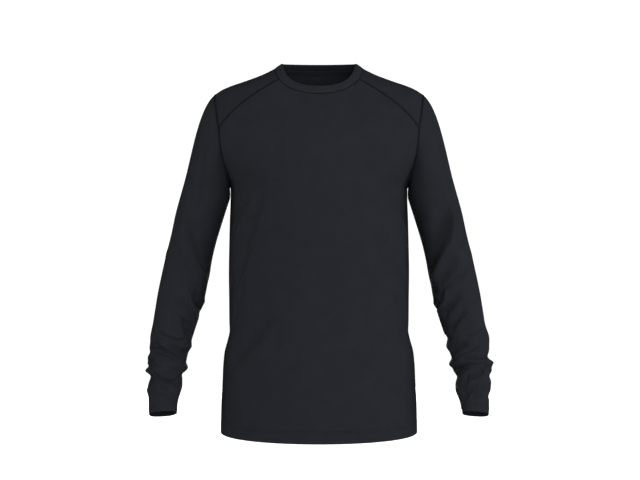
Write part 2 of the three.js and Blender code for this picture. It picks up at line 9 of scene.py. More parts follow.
import bpy
import numpy as np
from bpy.props import FloatProperty, FloatVectorProperty, PointerProperty
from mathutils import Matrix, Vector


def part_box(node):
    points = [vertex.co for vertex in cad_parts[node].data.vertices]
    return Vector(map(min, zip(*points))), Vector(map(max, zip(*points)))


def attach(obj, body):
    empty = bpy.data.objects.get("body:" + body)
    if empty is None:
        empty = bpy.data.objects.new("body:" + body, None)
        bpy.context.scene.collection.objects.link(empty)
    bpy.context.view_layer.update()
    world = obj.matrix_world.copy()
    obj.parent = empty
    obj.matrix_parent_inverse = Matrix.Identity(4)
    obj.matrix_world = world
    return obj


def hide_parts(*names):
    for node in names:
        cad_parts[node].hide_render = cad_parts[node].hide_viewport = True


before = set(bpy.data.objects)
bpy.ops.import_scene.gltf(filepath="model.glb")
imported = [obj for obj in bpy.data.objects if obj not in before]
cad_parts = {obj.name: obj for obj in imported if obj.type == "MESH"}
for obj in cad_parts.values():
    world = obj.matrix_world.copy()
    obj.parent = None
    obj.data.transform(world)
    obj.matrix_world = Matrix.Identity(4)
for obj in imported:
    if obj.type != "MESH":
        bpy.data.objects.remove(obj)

bl_info = {
    "name": "Base Layer Top",
    "version": (1, 0, 0),
    "blender": (4, 5, 0),
    "location": "3D View > Sidebar > Base Layer",
    "description": "Cloth, seams and studio for a long-sleeved base layer top",
    "category": "Add Mesh",
}

METRE = 0.001  # one millimetre

# Cloth and seams.
BAND_WALL = 2.6  # rib folded double
TAPE_WALL = 0.8
UNDERARM_DOWN = 236
SHOULDER_DOWN = 59.5  # where the armhole crosses the shoulder's ridge
HEM_DOWN = 708  # at the side seams
HEM_DIP = 12.2  # the hem hangs this much lower at the centre
HEM_LEVEL = (560, 680)  # rows turn from level to the hem's curve between these heights
BAND_WIDTH = 17.2
TAPE_WIDTH = 10
TAPE_TOP = 1.5  # from the neck seam down to the tape
SLEEVE_CLEAR = 0.4  # the sleeve starts this far outside the body at the underarm
EDGE_ROUND = 0.35  # how far a cut edge bulges, as a share of the wall
EDGE_PULL = 0.03  # clear space that a piece leaves at a seam line

# Grid sizes.
PANEL_COLUMNS = 180
HEM_ROWS = 36
BODY_ROWS = 148
ARMHOLE_ROWS = 34
YOKE_ROWS = 34
YOKE_ALONG = 60
YOKE_ROUND = 30  # from the shoulder's ridge to either seam
SLEEVE_COLUMNS = 144
CAP_ROWS = 50
ARM_ROWS = 96
BUNCHED_ROWS = 176
BAND_STEPS = 420
SEAM_STEPS = 400


def columns(names, rows):
    """The rows of a table as one array for each named column."""
    values = np.array(rows, float)
    return {name: values[:, i] for i, name in enumerate(names.split())}


# The body's rings: half width, and depth of the front and of the back from the side seams.
BODY_RINGS = columns("down half front back", (
    (-6, 56, 26, 48),
    (3, 74, 32, 56),
    (8.5, 84.5, 35.5, 60),
    (13, 93, 38, 63),
    (20, 107.5, 42, 66),
    (27, 125, 45.5, 68.5),
    (34, 144.5, 49, 71),
    (42, 168, 53, 74),
    (49, 184.5, 56.5, 76.5),
    (54, 193, 59, 78.5),
    (59.5, 200.5, 62, 80.5),
    (75, 214, 71, 87),
    (100, 226, 86, 97),
    (125, 229, 99.5, 105.5),
    (150, 222, 110.5, 111.5),
    (182, 204, 118.5, 115),
    (208, 186, 121, 115),
    (236, 171, 121, 112.5),
    (255, 170.2, 120, 110),
    (300, 171.6, 116.5, 104.5),
    (350, 172.8, 112.5, 99.5),
    (400, 173.6, 109.5, 96.5),
    (454, 173, 107.5, 96.5),
    (498, 172.6, 107.5, 99.5),
    (515, 172.2, 108, 101.5),
    (532, 176, 108.8, 103.5),
    (551, 181.2, 109.6, 105.5),
    (575, 184, 110.5, 108),
    (610, 185.6, 111.5, 110.5),
    (650, 188, 112.5, 112.5),
    (690, 188.7, 113, 113),
    (740, 188.7, 113, 113),
))

# The armhole seen from the front, from the shoulder's ridge down to the underarm.
ARMHOLE = columns("down across", (
    (59.5, 200.5),
    (78, 198),
    (97, 195.2),
    (127, 190.4),
    (150, 188.2),
    (185, 183),
    (208, 176.6),
    (236, 171),
))

# The neck seam and the curved seams of the shoulder yokes: the end at the neck, the point that bends
# the curve, and the end at the armhole.
NECK_HALF = 84.5
NECK_DOWN = 8.5
FRONT_NECK_DIP = 53
BACK_NECK_RISE = 1
YOKE_SEAMS = {
    "front": {"neck_across": 76, "bend": (168.7, 85), "arm_down": 128.5},
    "back": {"neck_across": 64, "bend": (146, 52), "arm_down": 118},
}

# The sleeve's centre line and half widths, read against the height of the ring's centre. "forward" is
# towards the front of the body, and "slim" and "deep" are the ring's two half widths.
SLEEVE_RINGS = columns("down across forward slim deep", (
    (248, 217, -6, 46.5, 58),
    (300, 232.6, -9, 45.4, 56),
    (339, 242.6, -10.5, 43.8, 54),
    (377, 251.6, -10, 44.2, 52),
    (416, 259.4, -6.5, 44.9, 50),
    (454, 267, 0, 44.6, 48),
    (493, 276, 8, 41.4, 45.5),
    (531, 285, 16.5, 38.6, 42.5),
    (568, 290.4, 25.5, 36.4, 39.5),
    (606, 293.2, 35, 31.8, 36),
    (644, 296, 44.5, 27.8, 33),
    (674, 296.2, 52, 25.4, 31),
))
SLEEVE_SQUARE = 0.84  # 1 leaves the sleeve's rings elliptical, and less squares them
SLEEVE_TOP = 248
CUFF_DOWN = 674
CUFF_TRIM = (5.8, -2.6)  # the cuff's edge lies higher by the first, and by the second times cos(angle)
CUFF_TRIM_FROM = 636
LOOSE_FROM = 480  # below here the sleeve is bunched, and its rings lie closer together
CAP_LEAVES_AT = 38  # degrees below level, at the shoulder
CAP_LEAVES_UNDERARM_AT = 88.5
CAP_PULL_START = 0.66
CAP_PULL_END = 0.92

# Folds and creases. Each runs through three stations, an angle and a height down, and is a ridge where
# "rise" is above nought or a trough below it, with its own width above and below the line, measured
# square to it. On the body the angle is nought at the centre and 90 at the wearer's left side seam. On a
# sleeve it is nought on the outer side, 90 in front, 180 inside and 270 behind.
FOLD = "a0 d0 a1 d1 a2 d2 rise above below"
BODY_FOLDS = {
    "front": columns(FOLD, (
        (-82, 308, -60, 269, -40, 237, -3.4, 9.9, 11.8),
        (-84, 461, -60, 389, -38, 331, -3.1, 12.7, 12.5),
        (-72, 585, -44, 526, -22, 473, -1.2, 12.7, 14.6),
        (82, 304, 62, 260, 42, 230, -5, 15.8, 14.2),
        (84, 454, 62, 380, 44, 301, -2.7, 9.8, 11.7),
        (82, 510, 66, 453, 52, 411, 2.2, 9.3, 9.8),
        (74, 578, 50, 524, 28, 480, 0.6, 14, 14),
        (-37, 238, -47, 326, -66, 425, -4.8, 5.7, 3.8),
        (-43, 242, -53, 282, -69, 339, 3.5, 6.2, 6.4),
        (-54, 414, -61, 458, -73, 505, -2.4, 5.4, 3),
        (-29, 488, -42, 531, -68, 585, -4.8, 7.5, 4.5),
        (-32, 518, -47, 556, -71, 601, 0.6, 4.6, 5.2),
        (-18, 506, -33, 561, -52, 620, -1, 5.3, 8.5),
        (44, 245, 54, 284, 68, 324, 1.2, 5, 8.9),
        (40, 274, 49, 347, 71, 431, 4.1, 3.7, 5.8),
        (53, 424, 60, 458, 74, 502, 4.2, 4.8, 5.4),
    )),
    "back": columns(FOLD, (
        (-80, 300, -56, 276, -34, 262, -2, 14, 14),
        (-84, 470, -58, 420, -30, 392, -2.6, 15, 15),
        (-80, 520, -50, 480, -18, 462, 2, 16, 16),
        (80, 312, 58, 282, 30, 264, -2, 14, 14),
        (84, 462, 54, 424, 22, 408, -2.6, 17, 17),
        (80, 528, 56, 492, 26, 470, 2, 15, 15),
        (-44, 250, -60, 284, -76, 330, -1.8, 9, 5),
        (-24, 300, -46, 384, -72, 452, -2, 15, 6),
        (-10, 486, -34, 500, -62, 560, -1.6, 13, 7),
        (46, 256, 60, 290, 74, 326, -1.8, 9, 5),
        (28, 318, 50, 396, 74, 448, -2, 15, 6),
        (12, 478, 36, 512, 60, 574, -1.6, 13, 7),
    )),
}
SLEEVE_FOLDS = {
    "left": columns(FOLD, (
        (44, 301, 92, 355, 168, 405, 2.8, 5.5, 7.3),
        (66, 290, 116, 351, 172, 395, -5.8, 16, 8.2),
        (10, 364, 76, 364, 176, 424, 1.8, 10.3, 10.1),
        (108, 470, 148, 440, 190, 428, -3, 8, 8),
        (72, 486, 118, 510, 168, 506, -2.4, 11, 11),
        (8, 498, 52, 520, 112, 548, -2.2, 8, 8),
        (20, 536, 96, 560, 196, 566, -2.7, 8, 8),
        (-80, 590, 80, 569, 220, 574, 5.1, 8, 8),
        (-40, 600, 84, 586, 210, 604, -3.2, 8, 8),
        (-30, 618, 60, 606, 170, 628, 3.2, 9, 9),
        (20, 624, 90, 628, 168, 650, -3.9, 7, 7),
        (190, 400, 240, 392, 300, 410, 2.2, 14, 14),
        (200, 520, 262, 532, 330, 522, 2.8, 10, 10),
        (190, 556, 256, 552, 324, 560, -2.6, 8, 8),
        (196, 622, 262, 632, 336, 622, 2.4, 8, 8),
        (-64, 560, -2, 561, 56, 556, -4.2, 8, 8),
        (18, 148, 31, 210, 52, 271, -3.8, 6.2, 9.1),
        (50, 275, 89, 349, 155, 417, 8.2, 6.1, 5.5),
        (74, 298, 105, 353, 156, 401, -3.9, 17.6, 6.5),
        (49, 357, 76, 359, 114, 395, -2.1, 3.5, 11.9),
        (36, 341, 52, 343, 66, 356, -2.8, 7.1, 3),
        (79, 378, 99, 395, 134, 428, -3.1, 8.5, 6.5),
        (59, 392, 89, 413, 124, 429, -3.6, 3.4, 5.1),
        (114, 438, 131, 455, 174, 476, 6.1, 4, 9),
        (125, 438, 139, 451, 174, 463, -8.1, 6, 5),
        (86, 443, 107, 459, 148, 483, -7.3, 7, 5),
        (82, 472, 103, 488, 144, 514, -6.7, 6, 4),
        (49, 503, 77, 518, 104, 522, -3.8, 4, 3),
        (95, 535, 122, 543, 164, 550, -8.1, 7, 5),
        (64, 537, 96, 548, 148, 563, -3, 5, 2.5),
        (60, 541, 98, 554, 138, 563, 2.6, 2.5, 6),
        (32, 561, 72, 561, 119, 564, -3.8, 3, 3),
        (87, 571, 116, 579, 173, 586, -8.5, 4.5, 5),
        (52, 575, 74, 573, 92, 577, -3, 3, 3),
        (46, 583, 74, 592, 113, 598, -5.4, 4, 4),
        (105, 598, 116, 607, 135, 623, -4.9, 5, 5),
        (78, 607, 103, 622, 140, 638, -3.2, 5, 2.5),
        (73, 613, 95, 626, 126, 640, 2.6, 2.5, 6),
        (67, 632, 89, 631, 109, 634, -3, 4, 4),
        (200, 500, 262, 516, 330, 504, 3, 10, 4),
        (196, 540, 250, 548, 318, 536, 3.4, 9, 4),
        (200, 588, 258, 594, 330, 584, 4, 9, 4),
        (206, 636, 264, 644, 322, 634, 2.6, 9, 4),
        (-50, 525, 0, 525, 50, 525, 3, 14, 14),
        (-50, 572, 0, 571, 50, 572, 3, 4, 4),
        (-55, 590, 0, 589, 50, 590, 6, 6, 6),
        (-50, 622, 0, 622, 50, 622, 2.4, 6, 6),
        (-50, 637, 0, 636, 50, 637, -1.6, 5, 5),
        (140, 528, 180, 527, 220, 528, -3.2, 6, 6),
        (140, 545, 180, 544, 220, 545, 3.8, 7, 7),
        (140, 567, 180, 566, 220, 567, -2, 5, 5),
        (140, 578, 180, 577, 220, 578, 4, 6, 6),
        (140, 602, 180, 601, 220, 602, -2, 5, 5),
        (140, 627, 180, 626, 220, 627, 4, 14, 14),
        (140, 668, 180, 667, 220, 668, -2.4, 10, 8),
        (146, 460, 180, 461, 216, 460, 2, 6, 6),
        (146, 476, 180, 475, 216, 476, -2, 5, 5),
    )),
    "right": columns(FOLD, (
        (40, 290, 92, 354, 168, 416, 0.5, 3.9, 8.8),
        (62, 298, 116, 339, 172, 403, -2, 13.2, 12.1),
        (0, 368, 78, 368, 178, 429, 1.4, 8.1, 6.7),
        (104, 440, 142, 458, 190, 476, -3, 9, 9),
        (74, 470, 112, 500, 164, 520, -2.2, 9, 9),
        (10, 502, 66, 530, 150, 532, -2.4, 8, 8),
        (0, 536, 80, 560, 186, 580, -3, 8, 8),
        (-20, 556, 40, 562, 120, 590, 2.7, 8, 8),
        (-10, 588, 80, 582, 225, 592, 4.3, 8, 8),
        (10, 596, 90, 606, 180, 616, -3, 8, 8),
        (-30, 632, 66, 622, 150, 640, 3.2, 8, 8),
        (186, 404, 244, 398, 306, 414, 2.2, 14, 14),
        (200, 526, 260, 536, 326, 520, 2.8, 10, 10),
        (196, 556, 260, 560, 320, 550, -2.6, 8, 8),
        (190, 616, 262, 626, 330, 612, 2.4, 8, 8),
        (-70, 560, -4, 554, 52, 556, -5, 7, 7),
        (-66, 600, 0, 599, 60, 601, -4, 7, 8),
        (55, 158, 72, 205, 92, 270, -3.4, 5.3, 5.1),
        (49, 287, 85, 359, 150, 415, 3.3, 7.7, 15.9),
        (71, 306, 109, 365, 153, 397, -5.9, 5.5, 3.1),
        (48, 358, 76, 367, 115, 398, -1.2, 3, 8.2),
        (74, 406, 102, 426, 138, 424, -1.5, 6.2, 10),
        (103, 434, 121, 455, 163, 476, 6.1, 4, 9),
        (123, 438, 138, 451, 174, 466, -7, 6, 5),
        (80, 451, 105, 468, 157, 493, -4.3, 6, 6),
        (95, 483, 121, 493, 159, 503, -4.9, 4, 5),
        (54, 504, 84, 521, 146, 527, -3.8, 3, 4),
        (112, 491, 130, 506, 162, 522, -6.7, 6, 4),
        (44, 531, 80, 545, 148, 566, -6.7, 4, 4),
        (67, 531, 89, 543, 149, 563, 2.6, 3, 2.5),
        (8, 537, 43, 539, 60, 541, -6.1, 5, 4),
        (92, 539, 114, 546, 173, 552, -6.7, 6, 4),
        (25, 560, 46, 551, 74, 548, 3.6, 4, 4),
        (67, 554, 101, 562, 132, 569, -3.8, 3, 3),
        (10, 567, 40, 567, 60, 567, -6.7, 4, 4),
        (29, 580, 66, 579, 98, 581, -2.6, 2.5, 5),
        (10, 573, 63, 572, 95, 571, 2.6, 4, 2.5),
        (92, 576, 117, 581, 170, 584, -6.7, 4.5, 4),
        (46, 584, 76, 599, 152, 603, -3.8, 4, 3),
        (56, 598, 90, 607, 147, 608, 3.8, 3, 5),
        (68, 609, 111, 607, 158, 621, -2.6, 2.5, 3),
        (69, 612, 104, 621, 150, 642, -3.8, 4, 3),
        (54, 617, 95, 624, 139, 644, 3, 3, 6),
        (204, 506, 260, 520, 328, 508, 3, 10, 4),
        (198, 544, 254, 552, 320, 542, 3.4, 9, 4),
        (196, 584, 262, 590, 326, 582, 4, 9, 4),
        (204, 634, 260, 640, 324, 632, 2.6, 9, 4),
        (-50, 581, 0, 579, 50, 580, -2.6, 4, 4),
        (-55, 589, 0, 588, 50, 589, 3, 5, 5),
        (140, 541, 180, 543, 220, 541, 3.6, 8, 8),
        (150, 582, 182, 580, 214, 582, 3.4, 5, 5),
        (140, 597, 180, 595, 220, 597, -3.8, 6, 6),
        (140, 626, 180, 625, 220, 626, 2, 14, 14),
        (146, 457, 180, 458, 216, 457, 2, 6, 6),
        (146, 480, 180, 479, 216, 480, -2, 6, 6),
    )),
}
FOLD_FADE = 0.3  # a fold dies away over this share of its run at each end
FOLD_REACH = 0.1  # and is drawn this share of its run past its end stations
BODY_TURN = 0.4  # degrees round the body for each millimetre
SLEEVE_TURN = 1.27

# The band's section, as shares of its width up from the seam, and distances out from the seam line.
BAND_SECTION = columns("up out", (
    (0, 0),
    (0.08, 0.45),
    (0.3, 0.7),
    (0.55, 0.68),
    (0.75, 0.5),
    (0.9, 0.1),
    (0.97, -0.35),
    (1, -1.1),
    (0.97, -1.75),
    (0.9, -2.05),
    (0.75, -2.1),
    (0.5, -1.95),
    (0.3, -1.9),
    (0.12, -1.75),
    (0.05, -1.5),
    (0, -0.8),
))
BAND_LEAN = {"front": 0.4, "side": 0.82, "back": 0.76}  # share of the band's rise that goes inwards


def mix(a, b, share):
    return a + (b - a) * share


def smooth(x, start, end):
    """Rises from 0 at start to 1 at end as the cubic 3t^2 - 2t^3."""
    t = np.clip((x - start) / (end - start), 0, 1)
    return t * t * (3 - 2 * t)


def unit(v):
    return v / np.maximum(np.linalg.norm(v, axis=-1, keepdims=True), 1e-12)


def through(table, column):
    """A smooth curve through one column of a table, read against "down". Between two rows it is the
    cubic that meets both values, with slopes weighed from the rates on either side."""
    at, value = table["down"], table[column]
    gap = np.diff(at)
    rate = np.diff(value) / gap
    inner = (rate[:-1] * gap[1:] + rate[1:] * gap[:-1]) / (gap[:-1] + gap[1:])
    slope = np.concatenate([rate[:1], inner, rate[-1:]])

    def curve(x):
        x = np.asarray(x, float)
        i = np.clip(np.searchsorted(at, x) - 1, 0, len(at) - 2)
        t = np.clip((x - at[i]) / gap[i], 0, 1)
        near = value[i] * (1 + 2 * t) * (1 - t) ** 2 + slope[i] * gap[i] * t * (1 - t) ** 2
        far = value[i + 1] * t * t * (3 - 2 * t) - slope[i + 1] * gap[i] * t * t * (1 - t)
        return near + far

    return curve


body_half = through(BODY_RINGS, "half")
body_depth = {side: through(BODY_RINGS, side) for side in ("front", "back")}
armhole_across = through(ARMHOLE, "across")
sleeve_line = {name: through(SLEEVE_RINGS, name) for name in ("across", "forward", "slim", "deep")}


def body_form(side, turn, down):
    """A point of the body: each ring is a half ellipse in front and another behind, with half width and
    depth from the table, and turn the angle from the centre towards the side seam."""
    depth = body_depth[side](down) * np.cos(turn)
    y = -depth if side == "front" else depth
    return np.stack(np.broadcast_arrays(body_half(down) * np.sin(turn), y, -down), -1)


def body_out(side, turn, down):
    """The way out of the body: the cross product of its slopes along the ring and down the body."""
    step = 0.01
    across = body_form(side, turn + step, down) - body_form(side, turn - step, down)
    along = body_form(side, turn, down + 1) - body_form(side, turn, down - 1)
    out = np.cross(along, across) if side == "front" else np.cross(across, along)
    return unit(out)


def fold_height(folds, angle, down, turn):
    """How high the folds stand: the sum over the folds of rise times a bell curve of the distance square
    to the fold's line, a parabola through its three stations, faded at both ends. The distance is the
    height off the line over the length of (1, the line's slope), with turn in degrees per millimetre."""
    height = np.zeros(np.broadcast(angle, down).shape)
    for a0, d0, a1, d1, a2, d2, rise, above, below in zip(*folds.values()):
        share = (angle - a0) / (a2 - a0)
        middle = (a1 - a0) / (a2 - a0)
        lift = (d1 - mix(d0, d2, middle)) / (middle * (1 - middle))
        line = mix(d0, d2, share) + lift * share * (1 - share)
        slope = (d2 - d0 + lift * (1 - 2 * share)) / (a2 - a0) * turn
        off = (down - line) / np.hypot(1, slope)
        width = np.where(off < 0, above, below)
        end = np.minimum(share, 1 - share) + FOLD_REACH
        height += rise * smooth(end, 0, FOLD_FADE) * np.exp(-((off / width) ** 2))
    return height


def body_place(side, across, down):
    """A place on the body's cloth, from its distance across and height down: its point, raised by the
    folds, and the way out."""
    turn = np.arcsin(np.clip(across / body_half(down), -1, 1))
    out = body_out(side, turn, down)
    lift = fold_height(BODY_FOLDS[side], np.degrees(turn), down, BODY_TURN)
    return body_form(side, turn, down) + out * lift[..., None], out


def neck_down(side, across):
    """The neck seam: in front an ellipse that hangs from the shoulder's ridge, behind a slight rise."""
    hang = np.sqrt(np.maximum(0, 1 - (across / NECK_HALF) ** 2))
    return NECK_DOWN + (FRONT_NECK_DIP if side == "front" else -BACK_NECK_RISE) * hang


def yoke_seam(side, share):
    """A yoke seam as distance across and height down: a quadratic curve from the neck to the armhole."""
    seam = YOKE_SEAMS[side]
    neck = np.array([seam["neck_across"], neck_down(side, seam["neck_across"])])
    arm = np.array([armhole_across(seam["arm_down"]), seam["arm_down"]])
    t = np.asarray(share, float)[..., None]
    point = neck * (1 - t) ** 2 + np.array(seam["bend"]) * 2 * t * (1 - t) + arm * t * t
    return point[..., 0], point[..., 1]


def panel_rows(side):
    """A body panel's rows from the hem up. Each ends on the side seam, then on the armhole, then on the
    yoke seam, and "round" turns its line from a parabola to the neck's ellipse."""
    hem = np.linspace(HEM_DOWN, HEM_DOWN - 32, HEM_ROWS + 1)[:-1]
    body = np.linspace(HEM_DOWN - 32, UNDERARM_DOWN, BODY_ROWS + 1)
    side_edge = np.concatenate([hem, body])
    arm = np.linspace(0, 1, ARMHOLE_ROWS + 1)[1:]
    neck = np.linspace(0, 1, YOKE_ROWS + 1)[1:]
    arm_edge = mix(UNDERARM_DOWN, YOKE_SEAMS[side]["arm_down"], arm)
    seam_across, seam_edge = yoke_seam(side, 1 - neck)
    top = neck_down(side, 0)
    share = ARMHOLE_ROWS / (ARMHOLE_ROWS + YOKE_ROWS)
    return {
        "edge": np.concatenate([side_edge, arm_edge, seam_edge]),
        "across": np.concatenate([body_half(side_edge), armhole_across(arm_edge), seam_across]),
        "centre": np.concatenate([
            side_edge + HEM_DIP * smooth(side_edge, *HEM_LEVEL),
            mix(UNDERARM_DOWN, top, arm * share),
            mix(UNDERARM_DOWN, top, mix(share, 1, neck)),
        ]),
        "round": np.concatenate([side_edge * 0, arm * 0, neck]),
    }


def on_rows(side, rows, s):
    """Distance across and height down on a panel's rows, with s from -1 to 1 between their ends. The
    spacing is even round the form."""
    row = {name: values[:, None] for name, values in rows.items()}
    end = np.arcsin(np.clip(row["across"] / body_half(row["edge"]), -1, 1))
    across = row["across"] * np.sin(s * end) / np.sin(end)
    bend = YOKE_SEAMS[side]["neck_across"] / NECK_HALF
    ellipse = (1 - np.sqrt(1 - (bend * s) ** 2)) / (1 - math.sqrt(1 - bend * bend))
    down = mix(row["centre"], row["edge"], mix(s * s, ellipse, row["round"]))
    return across, down


def hem_swell(distance, depth):
    """How far a turned-up hem stands out of the cloth: a low swell below its stitching, with a dimple
    along each of the two rows of stitches, from the distance up from the edge."""
    seams = bpy.context.scene.base_layer_seams
    gap = seams.twin_gap / METRE
    swell = 0.34 * (1 - smooth(distance, depth - 1.2, depth + 1.6))
    dimple = np.exp(-(((distance - depth) / 0.9) ** 2)) + np.exp(-(((distance - depth + gap) / 0.9) ** 2))
    return swell - 0.3 * dimple


def body_panel(side):
    """The front or back panel's grid of points and ways out, and its cloth coordinates: the length
    along the row from the centre, and the height."""
    rows = panel_rows(side)
    s = np.linspace(-1, 1, PANEL_COLUMNS + 1)
    across, down = on_rows(side, rows, s)
    points, out = body_place(side, across, down)
    rise = (HEM_DOWN - rows["edge"])[:, None]
    points = points + out * hem_swell(rise, bpy.context.scene.base_layer_seams.hem_depth / METRE)[..., None]
    length = lengths(points, 1)
    u = length - length[:, PANEL_COLUMNS // 2, None]
    return points, out, np.stack([u, -down], -1)


def yoke_place(side, along, rounding):
    """A place on a yoke, along from the neck at 0 to the armhole at 1, and round from the shoulder's
    ridge at 0 to the seam on that side at 1. Heights fall with the square of the rounding."""
    fall = rounding * rounding
    ridge_down = mix(NECK_DOWN, SHOULDER_DOWN, along)
    seam_across, seam_down = yoke_seam(side, along)
    neck_x, neck_d = yoke_seam(side, 0)
    arm_x, arm_d = yoke_seam(side, 1)
    down = mix(ridge_down, seam_down, fall)
    dip = (mix(NECK_DOWN, neck_d, fall) - NECK_DOWN) / FRONT_NECK_DIP
    bulge = NECK_HALF * np.sqrt(1 - dip * dip) - mix(NECK_HALF, neck_x, fall) if side == "front" else 0
    arm_at = armhole_across(mix(SHOULDER_DOWN, arm_d, fall))
    arm_bulge = arm_at - mix(armhole_across(SHOULDER_DOWN), arm_x, fall)
    across = mix(body_half(ridge_down), seam_across, fall) + mix(bulge, arm_bulge, along)
    return body_place(side, across, down)


def lengths(points, axis):
    """The running length along one axis of a grid, from its first row or column."""
    step = np.linalg.norm(np.diff(points, axis=axis), axis=-1)
    start = np.zeros_like(np.take(step, [0], axis=axis))
    return np.concatenate([start, np.cumsum(step, axis=axis)], axis)


def yoke():
    """A yoke's grid: rows from the neck to the armhole, each from its front seam over the ridge to its
    back seam, with cloth coordinates by length both ways."""
    along = np.linspace(0, 1, YOKE_ALONG + 1)[:, None]
    rounding = np.linspace(0, 1, YOKE_ROUND + 1)[None, :]
    front, front_out = yoke_place("front", along, rounding)
    back, back_out = yoke_place("back", along, rounding)
    points = np.concatenate([front[:, ::-1], back[:, 1:]], 1)
    out = unit(np.concatenate([front_out[:, ::-1], back_out[:, 1:]], 1))
    ridge = unit(front_out[:, 0] + back_out[:, 0])
    out[:, YOKE_ROUND] = ridge
    across = lengths(points, 0)
    around = lengths(points, 1)
    around = around - around[:, YOKE_ROUND, None]
    return points, out, np.stack([across, around], -1)


def resample(points, count, *others, closed=False):
    """Points spaced evenly by length along a line, with other arrays carried with them."""
    arrays = [points, *others]
    if closed:
        arrays = [np.concatenate([a, a[:1]]) for a in arrays]
    at = lengths(arrays[0], 0)
    want = np.linspace(0, at[-1], count + 1)[:-1] if closed else np.linspace(0, at[-1], count)
    made = [np.stack([np.interp(want, at, a[:, k]) for k in range(a.shape[1])], -1) for a in arrays]
    return made if others else made[0]


def armhole_half(side):
    """The armhole's edge from the shoulder's ridge down one side to the underarm, with its ways out."""
    over, over_out = yoke_place(side, np.ones(SEAM_STEPS), np.linspace(0, 1, SEAM_STEPS))
    down = np.linspace(YOKE_SEAMS[side]["arm_down"], UNDERARM_DOWN, SEAM_STEPS)[1:]
    under, under_out = body_place(side, armhole_across(down), down)
    points = np.concatenate([over, under])
    out = np.concatenate([over_out, under_out])
    return resample(points, SLEEVE_COLUMNS // 2 + 1, out)


def armhole():
    """The whole armhole from the underarm up behind, over the shoulder and down the front, spaced
    evenly on each side, with each point's angle round the sleeve from -180 to just under 180."""
    front, front_out = armhole_half("front")
    back, back_out = armhole_half("back")
    points = np.concatenate([back[:0:-1], front[:-1]])
    out = unit(np.concatenate([back_out[:0:-1], front_out[:-1]]))
    angle = np.linspace(-180, 180, SLEEVE_COLUMNS + 1)[:-1]
    return points, out, angle


def sleeve_frame(down):
    """The sleeve's centre line, its direction down the arm, and the ring's outer and front ways."""
    def centre_at(d):
        return np.stack([sleeve_line["across"](d), -sleeve_line["forward"](d), -d], -1)

    centre = centre_at(down)
    ends = SLEEVE_RINGS["down"][[0, -1]]
    along = unit(centre_at(np.clip(down + 1, *ends)) - centre_at(np.clip(down - 1, *ends)))
    outer = np.zeros_like(along)
    outer[..., 0] = 1
    outer = unit(outer - along * along[..., :1])
    front = unit(np.cross(along, outer))
    return centre, along, outer, front * -np.sign(front[..., 1:2])


def sleeve_ring(down, angle):
    """A point of the sleeve: a ring about the centre line with half widths "slim" and "deep", an ellipse
    whose sine and cosine are drawn outwards by a power below one."""
    down, angle = np.broadcast_arrays(np.asarray(down, float), angle)
    centre, _, outer, front = sleeve_frame(down)
    turn = np.radians(angle)
    cos, sin = (np.sign(a) * np.abs(a) ** SLEEVE_SQUARE for a in (np.cos(turn), np.sin(turn)))
    slim = (sleeve_line["slim"](down) * cos)[..., None]
    deep = (sleeve_line["deep"](down) * sin)[..., None]
    return centre + outer * slim + front * deep


def cap_points(edge, angle, share):
    """The cap from the armhole at share 0 to the first full ring at 1: a cubic that leaves the armhole
    outwards at the shoulder, almost straight down at the underarm, and arrives along the arm."""
    over = ((1 + np.cos(np.radians(angle))) / 2)[:, None]
    start = edge + np.array([SLEEVE_CLEAR, 0, 0]) * (1 - over)
    end = sleeve_ring(SLEEVE_TOP, angle)
    span = np.linalg.norm(end - start, axis=-1, keepdims=True)
    below = np.radians(mix(CAP_LEAVES_UNDERARM_AT, CAP_LEAVES_AT, over))
    leave = np.concatenate([np.cos(below), 0 * below, -np.sin(below)], -1) * CAP_PULL_START * span
    arrive = sleeve_frame(np.array(float(SLEEVE_TOP)))[1] * CAP_PULL_END * span
    t = share[:, None, None]
    return (start * (1 + 2 * t) * (1 - t) ** 2 + leave * t * (1 - t) ** 2
            + end * t * t * (3 - 2 * t) - arrive * t * t * (1 - t))


def outwards(tube):
    """The way out of each point of a tube, from its neighbours around and along."""
    along = np.gradient(tube, axis=0)
    around = np.roll(tube, -1, 1) - np.roll(tube, 1, 1)
    return unit(np.cross(around, along))


def sleeve(hand):
    """A sleeve's grid from the armhole to the cuff's edge, raised by its folds and creases, with cloth
    coordinates by length round from the outer side and down from the first full ring."""
    edge, _, angle = armhole()
    cap = cap_points(edge, angle, np.linspace(0, 1, CAP_ROWS + 1)[:-1])
    downs = np.concatenate([np.linspace(SLEEVE_TOP, LOOSE_FROM, ARM_ROWS + 1)[:-1],
                            np.linspace(LOOSE_FROM, CUFF_DOWN, BUNCHED_ROWS + 1)])
    trim = CUFF_TRIM[0] + CUFF_TRIM[1] * np.cos(np.radians(angle))
    rings = downs[:, None] - trim * smooth(downs, CUFF_TRIM_FROM, CUFF_DOWN + 12)[:, None]
    tube = np.concatenate([cap, sleeve_ring(rings, angle)])
    out = outwards(tube)
    if np.sum(out[CAP_ROWS + 5] * (tube[CAP_ROWS + 5] - tube[CAP_ROWS + 5].mean(0))) < 0:
        out = -out
    height = -tube[..., 2]
    lift = np.zeros(height.shape)
    for lap in (-360, 0, 360):
        lift += fold_height(SLEEVE_FOLDS[hand], angle + lap, height, SLEEVE_TURN)
    rise = CUFF_DOWN - np.concatenate([np.full(CAP_ROWS, SLEEVE_TOP), downs])
    lift += hem_swell(rise[:, None], bpy.context.scene.base_layer_seams.cuff_depth / METRE)
    points = tube + out * lift[..., None]
    closed = np.concatenate([tube, tube[:, :1]], 1)
    around = lengths(closed, 1)
    around = around - around[:, SLEEVE_COLUMNS // 2, None]
    along = lengths(closed, 0)
    along = along - along[CAP_ROWS]
    return points, out, np.stack([around, -along], -1)


